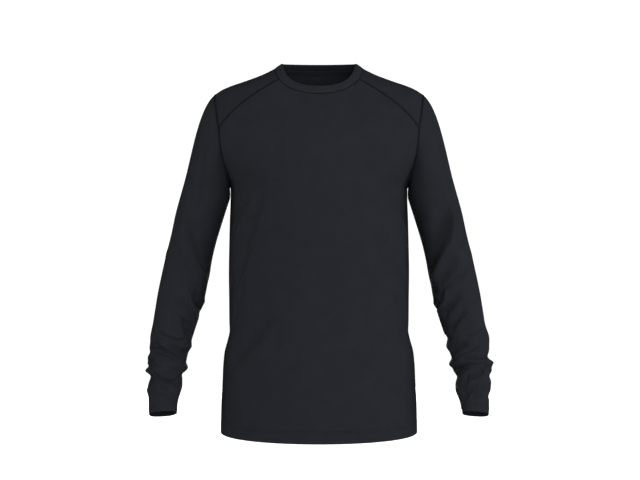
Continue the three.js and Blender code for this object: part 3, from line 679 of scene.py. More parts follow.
def neck_loop():
    """The neck seam all round, evenly spaced, and its ways out: along the front, over the left
    shoulder, along the back and over the right shoulder."""
    s = np.linspace(-1, 1, SEAM_STEPS)
    lines = {}
    for side in ("front", "back"):
        rows = {name: values[-1:] for name, values in panel_rows(side).items()}
        across, down = on_rows(side, rows, s)
        lines[side] = [a[1:-1] for a in body_place(side, across[0], down[0])]
    left = [a[0] for a in yoke()[:2]]
    right = [a[::-1] * np.array([-1, 1, 1]) for a in left]
    back = [a[::-1] for a in lines["back"]]
    loop, out = (np.concatenate(parts) for parts in zip(lines["front"], left, back, right))
    loop, out = resample(loop, BAND_STEPS, out, closed=True)
    return loop, unit(out)


def quads(index, uv):
    """The quads of a grid of vertex numbers, with the cloth coordinates of their corners."""
    faces = np.stack([index[:-1, :-1], index[:-1, 1:], index[1:, 1:], index[1:, :-1]], -1)
    corners = np.stack([uv[:-1, :-1], uv[:-1, 1:], uv[1:, 1:], uv[1:, :-1]], -2)
    return faces.reshape(-1, 4), corners.reshape(-1, 4, 2)


def facing_out(points, faces, corners):
    """Faces turned so that the solid's volume, the sum of a . (b x c) over its triangles, is positive."""
    a, b, c, d = (points[faces[:, k]] for k in range(4))
    volume = np.sum(a * np.cross(b, c)) + np.sum(a * np.cross(c, d))
    return (faces[:, ::-1], corners[:, ::-1]) if volume < 0 else (faces, corners)


def make_mesh(name, points, faces, corners):
    """A mesh object from points in millimetres, quads, and the cloth coordinates of their corners."""
    faces, corners = facing_out(points, faces, corners)
    mesh = bpy.data.meshes.new(name)
    mesh.from_pydata(points * METRE, [], faces)
    layer = mesh.uv_layers.new(name="cloth")
    layer.data.foreach_set("uv", (corners * METRE).astype(np.float32).ravel())
    mesh.shade_smooth()
    mesh.validate()
    piece = bpy.data.objects.new(name, mesh)
    bpy.context.scene.collection.objects.link(piece)
    return piece


def wall(name, points, out, uv, thickness, wraps=False):
    """A closed wall of cloth from a grid: the outer face, an inner face one thickness behind it, and
    rounded edges. Each border is first drawn in by what the rounded edge bulges."""
    rows, cols = points.shape[:2]
    thick = np.broadcast_to(thickness, (rows, cols))[..., None]
    r, c = np.meshgrid(np.arange(rows), np.arange(cols), indexing="ij")
    inner_r = np.clip(r, 1, rows - 2)
    inner_c = c if wraps else np.clip(c, 1, cols - 2)
    border = (inner_r != r) | (inner_c != c)
    edge_way = unit(points - points[inner_r, inner_c])
    pull = (EDGE_ROUND * thick + EDGE_PULL) * border[..., None]
    outer = points - edge_way * pull
    inner = outer - out * thick
    middle = (outer + inner) / 2 + edge_way * EDGE_ROUND * thick
    index = r * cols + c
    uv_index = index
    if wraps:
        index = np.concatenate([index, index[:, :1]], 1)
        uv_flat = uv.reshape(-1, 2)
        uv_index = np.arange(rows * (cols + 1)).reshape(rows, cols + 1)
        loops = [(index[k], uv_index[k]) for k in (0, -1)]
    else:
        uv_flat = uv.reshape(-1, 2)
        ring = np.concatenate([index[0, :-1], index[:-1, -1], index[-1, :0:-1], index[::-1, 0]])
        loops = [(ring, ring)]
    count = rows * cols
    vertices = [outer.reshape(-1, 3), inner.reshape(-1, 3)]
    made = [quads(index, uv_flat[uv_index]), quads(index[:, ::-1] + count, uv_flat[uv_index][:, ::-1])]
    start = 2 * count
    for n, (ring, ring_uv) in enumerate(loops):
        edge = middle.reshape(-1, 3)[ring[:-1]]
        numbers = np.arange(len(edge)) + start
        numbers = np.append(numbers, numbers[0])
        band = np.stack([ring, numbers, ring + count])
        band_uv = np.stack([uv_flat[ring_uv]] * 3)
        if wraps and n == 0:
            band, band_uv = band[::-1], band_uv[::-1]
        if not wraps:
            band, band_uv = band[::-1], band_uv[::-1]
        made.append(quads(band, band_uv))
        vertices.append(edge)
        start += len(edge)
    faces = np.concatenate([m[0] for m in made])
    corners = np.concatenate([m[1] for m in made])
    return make_mesh(name, np.concatenate(vertices), faces, corners)


def mirrored(grid):
    """A grid's points and ways out on the other side of the body. The cloth coordinates stay."""
    points, out, uv = grid
    flip = np.array([-1, 1, 1])
    return points * flip, out * flip, uv


def neckband():
    """The neckband's points, cloth coordinates and size: its section is carried round the neck seam,
    leaning in towards the neck."""
    loop, _ = neck_loop()
    count = len(BAND_SECTION["up"])
    around = unit(np.roll(loop, -1, 0) - np.roll(loop, 1, 0))
    inwards = unit((loop.mean(0) - loop) * np.array([1, 1, 0]))
    facing = inwards[:, 1] ** 2
    lean = mix(BAND_LEAN["side"], np.where(inwards[:, 1] > 0, BAND_LEAN["front"], BAND_LEAN["back"]), facing)
    up = inwards * lean[:, None]
    up[:, 2] += np.sqrt(1 - lean * lean)
    up = unit(up - around * np.sum(up * around, -1, keepdims=True))
    out = unit(np.cross(around, up))
    rise = BAND_SECTION["up"] * BAND_WIDTH + EDGE_PULL
    points = loop[:, None] + up[:, None] * rise[:, None] + out[:, None] * BAND_SECTION["out"][:, None]
    closed = np.concatenate([points, points[:, :1]], 1)
    section = lengths(closed, 1)
    at = np.linspace(0, np.linalg.norm(np.diff(loop, axis=0), axis=-1).sum(), BAND_STEPS + 1)
    closed_uv = np.concatenate([section, section[:1]])
    uv = np.stack([np.broadcast_to(at[:, None], closed_uv.shape), closed_uv], -1)
    index = np.arange(BAND_STEPS * count).reshape(BAND_STEPS, count)
    index = np.concatenate([index, index[:1]])
    index = np.concatenate([index, index[:, :1]], 1)
    faces, corners = quads(index, uv)
    return points.reshape(-1, 3), faces, corners


def neck_tape(back):
    """The tape inside the back neck: the back panel's own rows moved in behind its wall, measured down
    from the neck seam."""
    points, out, _ = back
    points, out = points[:, 8:-8], out[:, 8:-8]
    points, out = points[::-1], out[::-1]
    distance = lengths(points, 0)
    want = np.linspace(TAPE_TOP, TAPE_TOP + TAPE_WIDTH, 7)
    row = np.sum(distance[None] <= want[:, None, None], axis=1) - 1
    above, below = (np.take_along_axis(distance, row + k, 0) for k in (0, 1))
    share = ((want[:, None] - above) / (below - above))[..., None]
    place, way = (mix(np.take_along_axis(a, row[..., None], 0), np.take_along_axis(a, row[..., None] + 1, 0), share)
                  for a in (points, out))
    way = unit(way)
    place = place - way * (bpy.context.scene.base_layer_cloth.wall / METRE + 0.25)
    u = lengths(place, 1)
    return place, way, np.stack([u, np.broadcast_to(want[:, None], u.shape)], -1)


THREAD_SIDES = 6
END_QUADS = np.array([(0, 1, 2, 5), (2, 3, 4, 5)])  # two quads that close a thread's end


def tube(line, out, radius, closed):
    """A thread carried along a line: rings of its radius in the plane of the line's side and its way
    out, closed at both ends where the line is open. Returns its points and quads, with cloth
    coordinates along and round it."""
    if closed:
        ahead, behind = np.roll(line, -1, 0), np.roll(line, 1, 0)
    else:
        ahead, behind = np.concatenate([line[1:], line[-1:]]), np.concatenate([line[:1], line[:-1]])
    way = unit(ahead - behind)
    side = unit(np.cross(way, out))
    up = np.cross(side, way)
    turn = np.linspace(0, 2 * np.pi, THREAD_SIDES + 1)[:-1]
    ring = side[:, None] * np.cos(turn)[:, None] + up[:, None] * np.sin(turn)[:, None]
    points = line[:, None] + ring * radius
    index = np.arange(len(line) * THREAD_SIDES).reshape(-1, THREAD_SIDES)
    caps = np.concatenate([index[0, END_QUADS][:, ::-1], index[-1, END_QUADS]])
    index = np.concatenate([index, index[:, :1]], 1)
    at = lengths(line, 0)
    if closed:
        index = np.concatenate([index, index[:1]])
        at = np.append(at, at[-1] + np.linalg.norm(line[0] - line[-1]))
    round_at = np.linspace(0, 2 * np.pi * radius, THREAD_SIDES + 1)
    uv = np.stack(np.broadcast_arrays(at[:, None], round_at), -1)
    faces, corners = quads(index, uv)
    if not closed:
        faces = np.concatenate([faces, caps])
        corners = np.concatenate([corners, np.zeros((len(caps), 4, 2))])
    return points.reshape(-1, 3), faces, corners


def joined(parts):
    """Several pieces' points, faces and corners as one."""
    starts = np.cumsum([0] + [len(p[0]) for p in parts[:-1]])
    return (np.concatenate([p[0] for p in parts]),
            np.concatenate([p[1] + s for p, s in zip(parts, starts)]),
            np.concatenate([p[2] for p in parts]))


def steps_along(total, pitch, fractions):
    """Distances along a seam: the given fractions of every stitch, with a whole number of stitches."""
    count = max(int(round(total / pitch)), 1)
    return ((np.arange(count)[:, None] + np.asarray(fractions)) * total / count).ravel(), total / count


def carried(seam, at, closed):
    """The seam's arrays read at distances along it: points, ways out, and ways to its two sides."""
    arrays = [np.concatenate([a, a[:1]]) if closed else a for a in seam]
    length = lengths(arrays[0], 0)
    made = [np.stack([np.interp(at, length, a[:, k]) for k in range(3)], -1) for a in arrays]
    return [made[0], *[unit(a) for a in made[1:]]]


def seam_length(seam, closed):
    line = np.concatenate([seam[0], seam[0][:1]]) if closed else seam[0]
    return lengths(line, 0)[-1]


NEEDLE_STEPS = (0, 0.07, 0.25, 0.5, 0.75, 0.93)
COVER_STEPS = tuple(k / 8 for k in range(8))


def needle_row(seam, offset, closed, pitch, radius):
    """A row of needle stitches beside a seam: thread that lies on the cloth and dips into it at every
    hole, at a distance to the seam's left side, or to its right side where it is below nought."""
    at, step = steps_along(seam_length(seam, closed), pitch, NEEDLE_STEPS)
    point, out, left, right = carried(seam, at, closed)
    aside = left if offset > 0 else right
    within = (at / step) % 1
    height = radius * 0.7 - 3 * radius * np.abs(2 * within - 1) ** 10
    return tube(point + aside * abs(offset) + out * height[:, None], out, radius, closed)


def cover_thread(seam, half_width, closed, pitch, radius):
    """The thread that crosses a flat seam from side to side: a triangle wave across it, lowest where it
    turns at either edge."""
    at, step = steps_along(seam_length(seam, closed), pitch, COVER_STEPS)
    point, out, left, right = carried(seam, at, closed)
    swing = 1 - 4 * np.abs((at / step) % 1 - 0.5)
    aside = np.where(swing[:, None] > 0, left, right) * np.abs(swing)[:, None] * half_width
    height = radius * (1.2 - 1.1 * np.abs(swing) ** 6)
    return tube(point + aside + out * height[:, None], out, radius, closed)


def flat_seam(name, seam, half_width, closed):
    """A flat-locked seam: the cover thread with a row of needle stitches along either edge."""
    seams = bpy.context.scene.base_layer_seams
    radius = seams.thread_width / METRE / 2
    parts = [cover_thread(seam, half_width, closed, seams.cover_pitch / METRE, radius)]
    for offset in (half_width, -half_width):
        parts.append(needle_row(seam, offset, closed, seams.needle_pitch / METRE, radius))
    return make_mesh(name, *joined(parts))


def twin_rows(name, seam, closed=True):
    """Two rows of needle stitches, the upper on the line itself and the lower a twin needle's gap
    below it."""
    seams = bpy.context.scene.base_layer_seams
    radius = seams.thread_width / METRE / 2
    pitch = seams.needle_pitch / METRE
    parts = [needle_row(seam, offset, closed, pitch, radius) for offset in (0.01, -seams.twin_gap / METRE)]
    return make_mesh(name, *joined(parts))


def armhole_seam(sleeve_grid):
    """The armhole's seam: its line, the way out, and the ways towards the sleeve and the body, each
    lying in its own cloth."""
    line, body_way, _ = armhole()
    along = unit(np.roll(line, -1, 0) - np.roll(line, 1, 0))
    to_sleeve = unit(sleeve_grid[0][2] - sleeve_grid[0][0])
    to_body = unit(np.cross(along, body_way))
    to_body = to_body * -np.sign(np.sum(to_body * to_sleeve, -1, keepdims=True))
    sleeve_way = sleeve_grid[1][1]
    return line, unit(body_way + sleeve_way), to_sleeve, to_body


def yoke_line(side):
    """A yoke seam on the left side: its line, the way out, and the ways to its two sides."""
    share = np.linspace(0.01, 0.985, SEAM_STEPS)
    line, out = body_place(side, *yoke_seam(side, share))
    along = unit(np.gradient(line, axis=0))
    to_left = unit(np.cross(along, out))
    return line, out, to_left, -to_left


def neck_seam():
    """The neck's seam: its line, the way out, and the ways across it."""
    line, out = neck_loop()
    along = unit(np.roll(line, -1, 0) - np.roll(line, 1, 0))
    across = unit(np.cross(along, out))
    return line, out, across, -across


def row_line(points, out, row):
    """A line along one row of a grid, with the way out, up the cloth and down it."""
    line = points[row]
    along = np.gradient(line, axis=0)
    down = unit(np.cross(along, out[row]))
    down = down * -np.sign(down[:, 2:])
    return line, out[row], -down, down


def hem_seam(front, back):
    """The hem's upper row of stitches all round, from the two panels' rows at the hem's depth."""
    depth = bpy.context.scene.base_layer_seams.hem_depth / METRE
    row = int(round(depth / 32 * HEM_ROWS))
    lines = [row_line(*panel[:2], row) for panel in (front, back)]
    return [np.concatenate([a[:-1], b[:0:-1]]) for a, b in zip(*lines)]


def cuff_seam(sleeve_grid):
    """A cuff's upper row of stitches."""
    depth = bpy.context.scene.base_layer_seams.cuff_depth / METRE
    row = -1 - int(round(depth / (CUFF_DOWN - LOOSE_FROM) * BUNCHED_ROWS))
    points, out, _ = sleeve_grid
    line = points[row]
    down = unit(points[row + 2] - points[row - 2])
    return line, out[row], -down, down


def new_group(name, inputs, outputs):
    """An empty node group with named inputs (name, socket type, default) and outputs."""
    group = bpy.data.node_groups.new(name, "ShaderNodeTree")
    for label, kind, default in inputs:
        socket = group.interface.new_socket(label, in_out="INPUT", socket_type=kind)
        if default is not None:
            socket.default_value = default
    for label, kind in outputs:
        group.interface.new_socket(label, in_out="OUTPUT", socket_type=kind)
    return group, group.nodes.new("NodeGroupInput"), group.nodes.new("NodeGroupOutput")


class Sums:
    """Arithmetic on a node tree's sockets: each call adds one Math node and returns its output."""

    def __init__(self, tree):
        self.tree = tree

    def node(self, kind, **settings):
        made = self.tree.nodes.new(kind)
        for name, value in settings.items():
            setattr(made, name, value)
        return made

    def put(self, value, socket):
        if isinstance(value, bpy.types.NodeSocket):
            self.tree.links.new(value, socket)
        else:
            socket.default_value = value

    def do(self, operation, a, b=None, c=None, clamp=False):
        made = self.node("ShaderNodeMath", operation=operation, use_clamp=clamp)
        for value, socket in zip((a, b, c), made.inputs):
            if value is not None:
                self.put(value, socket)
        return made.outputs[0]

    def mixed(self, share, a, b):
        """A colour between two."""
        made = self.node("ShaderNodeMix", data_type="RGBA")
        for value, socket in ((share, made.inputs[0]), (a, made.inputs[6]), (b, made.inputs[7])):
            self.put(value, socket)
        return made.outputs[2]

    def noise(self, place, scale, detail=2.0, roughness=0.5):
        made = self.node("ShaderNodeTexNoise")
        self.put(place, made.inputs["Vector"])
        made.inputs["Scale"].default_value = scale
        made.inputs["Detail"].default_value = detail
        made.inputs["Roughness"].default_value = roughness
        return made.outputs["Fac"]


def knit_group():
    """Jersey loops from cloth coordinates: each column of loops is a chain of V shapes. Height is the
    yarn's round back, and Valley is high in the gaps between the loops."""
    group, given, made = new_group(
        "Jersey Loops",
        [("Cloth", "NodeSocketVector", None), ("Column", "NodeSocketFloat", 0.0009),
         ("Row", "NodeSocketFloat", 0.0007), ("Slant", "NodeSocketFloat", 0.9)],
        [("Height", "NodeSocketFloat"), ("Valley", "NodeSocketFloat")])
    sums = Sums(group)
    split = sums.node("ShaderNodeSeparateXYZ")
    group.links.new(given.outputs["Cloth"], split.inputs[0])
    column = sums.do("DIVIDE", split.outputs["X"], given.outputs["Column"])
    row = sums.do("DIVIDE", split.outputs["Y"], given.outputs["Row"])
    middle = sums.do("ABSOLUTE", sums.do("SUBTRACT", sums.do("FRACT", column), 0.5))
    leg = sums.do("SINE", sums.do("MULTIPLY", middle, 2 * math.pi))
    slanted = sums.do("MULTIPLY_ADD", middle, given.outputs["Slant"], row)
    yarn = sums.do("SINE", sums.do("MULTIPLY", sums.do("FRACT", slanted), math.pi))
    height = sums.do("MULTIPLY", sums.do("POWER", leg, 0.6), sums.do("POWER", yarn, 0.7))
    group.links.new(height, made.inputs["Height"])
    group.links.new(sums.do("SUBTRACT", 1.0, height, clamp=True), made.inputs["Valley"])
    return group


def heather_group():
    """The faint mottle of a heather yarn: fine flecks drawn out along the cloth's columns, and a broad
    soft cloud, as one shade about a half."""
    group, given, made = new_group(
        "Heather",
        [("Cloth", "NodeSocketVector", None), ("Place", "NodeSocketVector", None),
         ("Flecks", "NodeSocketFloat", 0.5)],
        [("Shade", "NodeSocketFloat")])
    sums = Sums(group)
    drawn = sums.node("ShaderNodeMapping")
    drawn.inputs["Scale"].default_value = (1.0, 0.35, 1.0)
    group.links.new(given.outputs["Cloth"], drawn.inputs["Vector"])
    flecks = sums.noise(drawn.outputs[0], 620, 2.0, 0.6)
    cloud = sums.noise(given.outputs["Place"], 34, 3.0, 0.62)
    share = sums.do("MULTIPLY", given.outputs["Flecks"], sums.do("SUBTRACT", flecks, 0.5))
    shade = sums.do("ADD", share, cloud, clamp=True)
    group.links.new(shade, made.inputs["Shade"])
    return group


def rib_group():
    """A fine rib across the neckband: rounded ridges that stand side by side along its length."""
    group, given, made = new_group(
        "Rib",
        [("Cloth", "NodeSocketVector", None), ("Pitch", "NodeSocketFloat", 0.0016)],
        [("Height", "NodeSocketFloat"), ("Valley", "NodeSocketFloat")])
    sums = Sums(group)
    split = sums.node("ShaderNodeSeparateXYZ")
    group.links.new(given.outputs["Cloth"], split.inputs[0])
    at = sums.do("FRACT", sums.do("DIVIDE", split.outputs["X"], given.outputs["Pitch"]))
    ridge = sums.do("POWER", sums.do("SINE", sums.do("MULTIPLY", at, math.pi)), 0.55)
    loops = sums.do("FRACT", sums.do("DIVIDE", split.outputs["Y"], 0.0007))
    yarn = sums.do("SINE", sums.do("MULTIPLY", loops, math.pi))
    height = sums.do("MULTIPLY_ADD", yarn, 0.25, sums.do("MULTIPLY", ridge, 0.75))
    group.links.new(height, made.inputs["Height"])
    group.links.new(sums.do("SUBTRACT", 1.0, ridge, clamp=True), made.inputs["Valley"])
    return group


def twill_group():
    """Slanting lines, as on a woven tape or on twisted thread."""
    group, given, made = new_group(
        "Slant Lines",
        [("Cloth", "NodeSocketVector", None), ("Pitch", "NodeSocketFloat", 0.0008),
         ("Slant", "NodeSocketFloat", 1.0)],
        [("Height", "NodeSocketFloat")])
    sums = Sums(group)
    split = sums.node("ShaderNodeSeparateXYZ")
    group.links.new(given.outputs["Cloth"], split.inputs[0])
    at = sums.do("MULTIPLY_ADD", split.outputs["Y"], given.outputs["Slant"], split.outputs["X"])
    line = sums.do("FRACT", sums.do("DIVIDE", at, given.outputs["Pitch"]))
    height = sums.do("POWER", sums.do("SINE", sums.do("MULTIPLY", line, math.pi)), 0.7)
    group.links.new(height, made.inputs["Height"])
    return group


def shade_of(colour, factor):
    return (colour[0] * factor, colour[1] * factor, colour[2] * factor, 1.0)


def cloth_material(name, colour, roughness, texture, sockets, depth, heather=None, contrast=0.16):
    """A matt cloth: its base colour varied by the yarn's mottle and darkened by painted shade in the low gaps of
    its texture, and its texture raised by a bump of the given depth."""
    material = bpy.data.materials.new(name)
    material.use_nodes = True
    tree = material.node_tree
    sums = Sums(tree)
    shader = tree.nodes["Principled BSDF"]
    shader.inputs["Specular IOR Level"].default_value = 0.08
    cloth = sums.node("ShaderNodeUVMap", uv_map="cloth").outputs["UV"]
    raised = sums.node("ShaderNodeGroup", node_tree=texture)
    tree.links.new(cloth, raised.inputs["Cloth"])
    for label, value in sockets.items():
        raised.inputs[label].default_value = value
    height = raised.outputs["Height"]
    shade = 0.5
    if heather:
        place = sums.node("ShaderNodeTexCoord").outputs["Object"]
        mottle = sums.node("ShaderNodeGroup", node_tree=heather)
        tree.links.new(cloth, mottle.inputs["Cloth"])
        tree.links.new(place, mottle.inputs["Place"])
        shade = mottle.outputs["Shade"]
    base = sums.mixed(shade, shade_of(colour, 1 - contrast), shade_of(colour, 1 + contrast))
    # Painted shade: the texture's gaps are darkened up to 0.3 of the way to a copy of the colour at 0.4, and made a
    # little rougher.
    gap = sums.do("MULTIPLY", sums.do("SUBTRACT", 1.0, height), 0.3, clamp=True)
    tree.links.new(sums.mixed(gap, base, shade_of(colour, 0.4)), shader.inputs["Base Color"])
    tree.links.new(sums.do("MULTIPLY_ADD", gap, 0.2, roughness), shader.inputs["Roughness"])
    bump = sums.node("ShaderNodeBump")
    bump.inputs["Distance"].default_value = depth
    bump.inputs["Strength"].default_value = 0.6
    tree.links.new(height, bump.inputs["Height"])
    tree.links.new(bump.outputs[0], shader.inputs["Normal"])
    return material


def finish_for(kind):
    """The material of one kind of cloth or thread, made on its first call."""
    found = bpy.data.materials.get(kind)
    if found:
        return found
    cloth = bpy.context.scene.base_layer_cloth
    seams = bpy.context.scene.base_layer_seams
    groups = {g.name: g for g in bpy.data.node_groups}
    jersey = groups.get("Jersey Loops") or knit_group()
    heather = groups.get("Heather") or heather_group()
    rib = groups.get("Rib") or rib_group()
    twill = groups.get("Slant Lines") or twill_group()
    knit = {"Column": cloth.column, "Row": cloth.row}
    colour = tuple(cloth.colour)
    rough = cloth.roughness
    if kind == "Jersey":
        return cloth_material(kind, colour, rough, jersey, knit, 0.00022, heather)
    if kind == "Neck Rib":
        return cloth_material(kind, shade_of(colour, 0.97), rough, rib, {"Pitch": 0.0016}, 0.0003, heather)
    if kind == "Tape":
        return cloth_material(kind, shade_of(colour, 0.8), rough, twill, {"Pitch": 0.0009}, 0.0002)
    return cloth_material(kind, tuple(seams.thread_colour), 0.62, twill, {"Pitch": 0.0005, "Slant": 1.2}, 0.0001)


def dress(piece, kind, slot, *nodes):
    """Gives a piece its material and its body, and lets it stand for its nodes. The slot is not used."""
    piece.data.materials.clear()
    piece.data.materials.append(finish_for(kind))
    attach(piece, "root")
    if nodes:
        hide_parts(*nodes)
    return piece


class ClothSettings(bpy.types.PropertyGroup):
    wall: FloatProperty(
        name="Cloth Thickness", description="Thickness of the knit of the body, yokes and sleeves",
        default=0.0012, min=0.0004, max=0.002, precision=4, unit="LENGTH")
    column: FloatProperty(
        name="Loop Width", description="Width of one column of knitted loops",
        default=0.0009, min=0.0004, max=0.004, precision=4, unit="LENGTH")
    row: FloatProperty(
        name="Loop Height", description="Height of one row of knitted loops",
        default=0.0007, min=0.0003, max=0.004, precision=4, unit="LENGTH")
    colour: FloatVectorProperty(
        name="Yarn Colour", description="Colour of the heathered charcoal yarn",
        default=(0.0263, 0.029, 0.0368), size=3, min=0, max=1, subtype="COLOR")
    roughness: FloatProperty(
        name="Roughness", description="Roughness of the knit's surface",
        default=0.86, min=0, max=1, subtype="FACTOR")


class SeamSettings(bpy.types.PropertyGroup):
    thread_width: FloatProperty(
        name="Thread Width", description="Thickness of the sewing thread",
        default=0.00046, min=0.0001, max=0.002, precision=5, unit="LENGTH")
    thread_colour: FloatVectorProperty(
        name="Thread Colour", description="Colour of the sewing thread",
        default=(0.0125, 0.014, 0.0168), size=3, min=0, max=1, subtype="COLOR")
    armhole_width: FloatProperty(
        name="Armhole Seam Width", description="Width of the flat seam round each armhole",
        default=0.0048, min=0.001, max=0.01, precision=4, unit="LENGTH")
    yoke_width: FloatProperty(
        name="Yoke Seam Width", description="Width of the flat seam along each shoulder yoke",
        default=0.0034, min=0.001, max=0.01, precision=4, unit="LENGTH")
    neck_width: FloatProperty(
        name="Neck Seam Width", description="Width of the flat seam round the neckband",
        default=0.0014, min=0.0005, max=0.01, precision=4, unit="LENGTH")
    cover_pitch: FloatProperty(
        name="Cover Pitch", description="Length of one swing of the thread that crosses a flat seam",
        default=0.0017, min=0.0008, max=0.01, precision=4, unit="LENGTH")
    needle_pitch: FloatProperty(
        name="Stitch Length", description="Length of one needle stitch",
        default=0.0028, min=0.001, max=0.01, precision=4, unit="LENGTH")
    twin_gap: FloatProperty(
        name="Twin Needle Gap", description="Distance between the two rows of stitches at hem and cuffs",
        default=0.005, min=0.002, max=0.01, precision=4, unit="LENGTH")
    hem_depth: FloatProperty(
        name="Hem Depth", description="From the hem's edge up to its upper row of stitches",
        default=0.024, min=0.01, max=0.03, precision=4, unit="LENGTH")
    cuff_depth: FloatProperty(
        name="Cuff Depth", description="From the cuff's edge up to its upper row of stitches",
        default=0.018, min=0.01, max=0.03, precision=4, unit="LENGTH")


class StudioSettings(bpy.types.PropertyGroup):
    floor_drop: FloatProperty(
        name="Floor Drop", description="From the hem down to the floor",
        default=0.23, min=0, max=2, unit="LENGTH")
    floor_radius: FloatProperty(
        name="Floor Radius", description="Where the floor starts to curve up into the backdrop",
        default=5.2, min=4.6, max=20, unit="LENGTH")
    front_power: FloatProperty(
        name="Front Light", description="Power of the soft light in front",
        default=66, min=0, max=1000, unit="POWER")
    left_power: FloatProperty(
        name="Left Light", description="Power of the soft light on the wearer's left",
        default=66, min=0, max=1000, unit="POWER")
    right_power: FloatProperty(
        name="Right Light", description="Power of the soft light on the wearer's right",
        default=42, min=0, max=1000, unit="POWER")
    back_power: FloatProperty(
        name="Back Light", description="Power of the soft light behind",
        default=100, min=0, max=1000, unit="POWER")
    top_power: FloatProperty(
        name="Top Light", description="Power of the soft light above",
        default=16, min=0, max=1000, unit="POWER")
    backdrop_glow: FloatProperty(
        name="Backdrop Glow", description="How strongly the backdrop lights the cloth",
        default=0.02, min=0, max=2)
    view_distance: FloatProperty(
        name="View Distance", description="From the camera to the shoulders",
        default=3.5, min=1, max=10, unit="LENGTH")
    view_width: FloatProperty(
        name="View Width", description="Width of the picture at the shoulders",
        default=1.2325, min=0.5, max=5, unit="LENGTH")


class BASELAYER_OT_body_panels(bpy.types.Operator):
    """Make the front and back panels and the stitching of their hem"""
    bl_idname = "baselayer.body_panels"
    bl_label = "Body Panels"

    def execute(self, context):
        cloth = context.scene.base_layer_cloth
        grids = {side: body_panel(side) for side in ("front", "back")}
        for side, grid in grids.items():
            panel = wall(side + "_knit", *grid, cloth.wall / METRE)
            dress(panel, "Jersey", "body_knit", side)
        hem = twin_rows("hem_stitching", hem_seam(grids["front"], grids["back"]))
        dress(hem, "Thread", "body_knit")
        return {"FINISHED"}


class BASELAYER_OT_yokes(bpy.types.Operator):
    """Make the shoulder yokes and the stitching of their front and back seams"""
    bl_idname = "baselayer.yokes"
    bl_label = "Shoulder Yokes"

    def execute(self, context):
        cloth = context.scene.base_layer_cloth
        seams = context.scene.base_layer_seams
        grid = yoke()
        flip = np.array([-1, 1, 1])
        for hand, shape in (("left", grid), ("right", mirrored(grid))):
            piece = wall(f"yoke_{hand}_knit", *shape, cloth.wall / METRE)
            dress(piece, "Jersey", "body_knit", "yoke_" + hand)
            for side in ("front", "back"):
                seam = yoke_line(side)
                if hand == "right":
                    seam = [a * flip for a in seam]
                line = flat_seam(f"yoke_{hand}_{side}_stitching", seam, seams.yoke_width / METRE / 2, False)
                dress(line, "Thread", "body_knit")
        return {"FINISHED"}


class BASELAYER_OT_sleeves(bpy.types.Operator):
    """Make both sleeves with the stitching of their armholes and cuffs"""
    bl_idname = "baselayer.sleeves"
    bl_label = "Sleeves"

    def execute(self, context):
        cloth = context.scene.base_layer_cloth
        seams = context.scene.base_layer_seams
        flip = np.array([-1, 1, 1])
        for hand in ("left", "right"):
            grid = sleeve(hand)
            shape = grid if hand == "left" else mirrored(grid)
            piece = wall(f"sleeve_{hand}_knit", *shape, cloth.wall / METRE, wraps=True)
            dress(piece, "Jersey", "sleeve_knit", "sleeve_" + hand)
            half = seams.armhole_width / METRE / 2
            for name, seam in (("armhole", armhole_seam(grid)), ("cuff", cuff_seam(grid))):
                if hand == "right":
                    seam = [a * flip for a in seam]
                title = f"{name}_{hand}_stitching"
                line = flat_seam(title, seam, half, True) if name == "armhole" else twin_rows(title, seam)
                dress(line, "Thread", "sleeve_knit")
        return {"FINISHED"}


class BASELAYER_OT_neck(bpy.types.Operator):
    """Make the neckband, its seam's stitching and the tape inside the back neck"""
    bl_idname = "baselayer.neck"
    bl_label = "Neckband and Tape"

    def execute(self, context):
        band = make_mesh("neckband_rib", *neckband())
        dress(band, "Neck Rib", "neck_rib", "neckband")
        half = context.scene.base_layer_seams.neck_width / METRE / 2
        dress(flat_seam("neck_stitching", neck_seam(), half, True), "Thread", "neck_rib")
        tape = wall("back_neck_tape", *neck_tape(body_panel("back")), TAPE_WALL)
        dress(tape, "Tape", "neck_tape", "neck_tape")
        return {"FINISHED"}


class BASELAYER_OT_studio(bpy.types.Operator):
    """Make the pale floor, the soft lights and the camera"""
    bl_idname = "baselayer.studio"
    bl_label = "Studio"

    def execute(self, context):
        studio = context.scene.base_layer_studio
        make_floor(studio)
        for name, turn, power in (("front_light", 6, studio.front_power), ("left_light", 70, studio.left_power),
                                  ("right_light", -70, studio.right_power), ("back_light", 180, studio.back_power)):
            around = math.radians(turn)
            place = (LIGHT_DISTANCE * math.sin(around), -LIGHT_DISTANCE * math.cos(around), 0.1)
            make_light(name, place, power)
        make_light("top_light", (0, -0.8, 2.8), studio.top_power)
        make_camera(studio)
        world = context.scene.world or bpy.data.worlds.new("studio")
        context.scene.world = world
        world.use_nodes = True
        world.node_tree.nodes["Background"].inputs[0].default_value = (1, 1, 1, 1)
        world.node_tree.nodes["Background"].inputs[1].default_value = studio.backdrop_glow
        context.scene.view_settings.view_transform = "Standard"
        return {"FINISHED"}


class BASELAYER_PT_panel(bpy.types.Panel):
    """Lists the top's sizes and its pieces"""
    bl_idname = "BASELAYER_PT_panel"
    bl_label = "Base Layer Top"
    bl_space_type = "VIEW_3D"
    bl_region_type = "UI"
    bl_category = "Base Layer"

    def draw(self, context):
        for name, settings in SETTINGS.items():
            box = self.layout.box()
            for field in settings.__annotations__:
                box.prop(getattr(context.scene, name), field)
        for operator in OPERATORS:
            self.layout.operator(operator.bl_idname)


SETTINGS = {
    "base_layer_cloth": ClothSettings,
    "base_layer_seams": SeamSettings,
    "base_layer_studio": StudioSettings,
}
OPERATORS = (
    BASELAYER_OT_studio,
    BASELAYER_OT_body_panels,
    BASELAYER_OT_yokes,
    BASELAYER_OT_sleeves,
    BASELAYER_OT_neck,
)


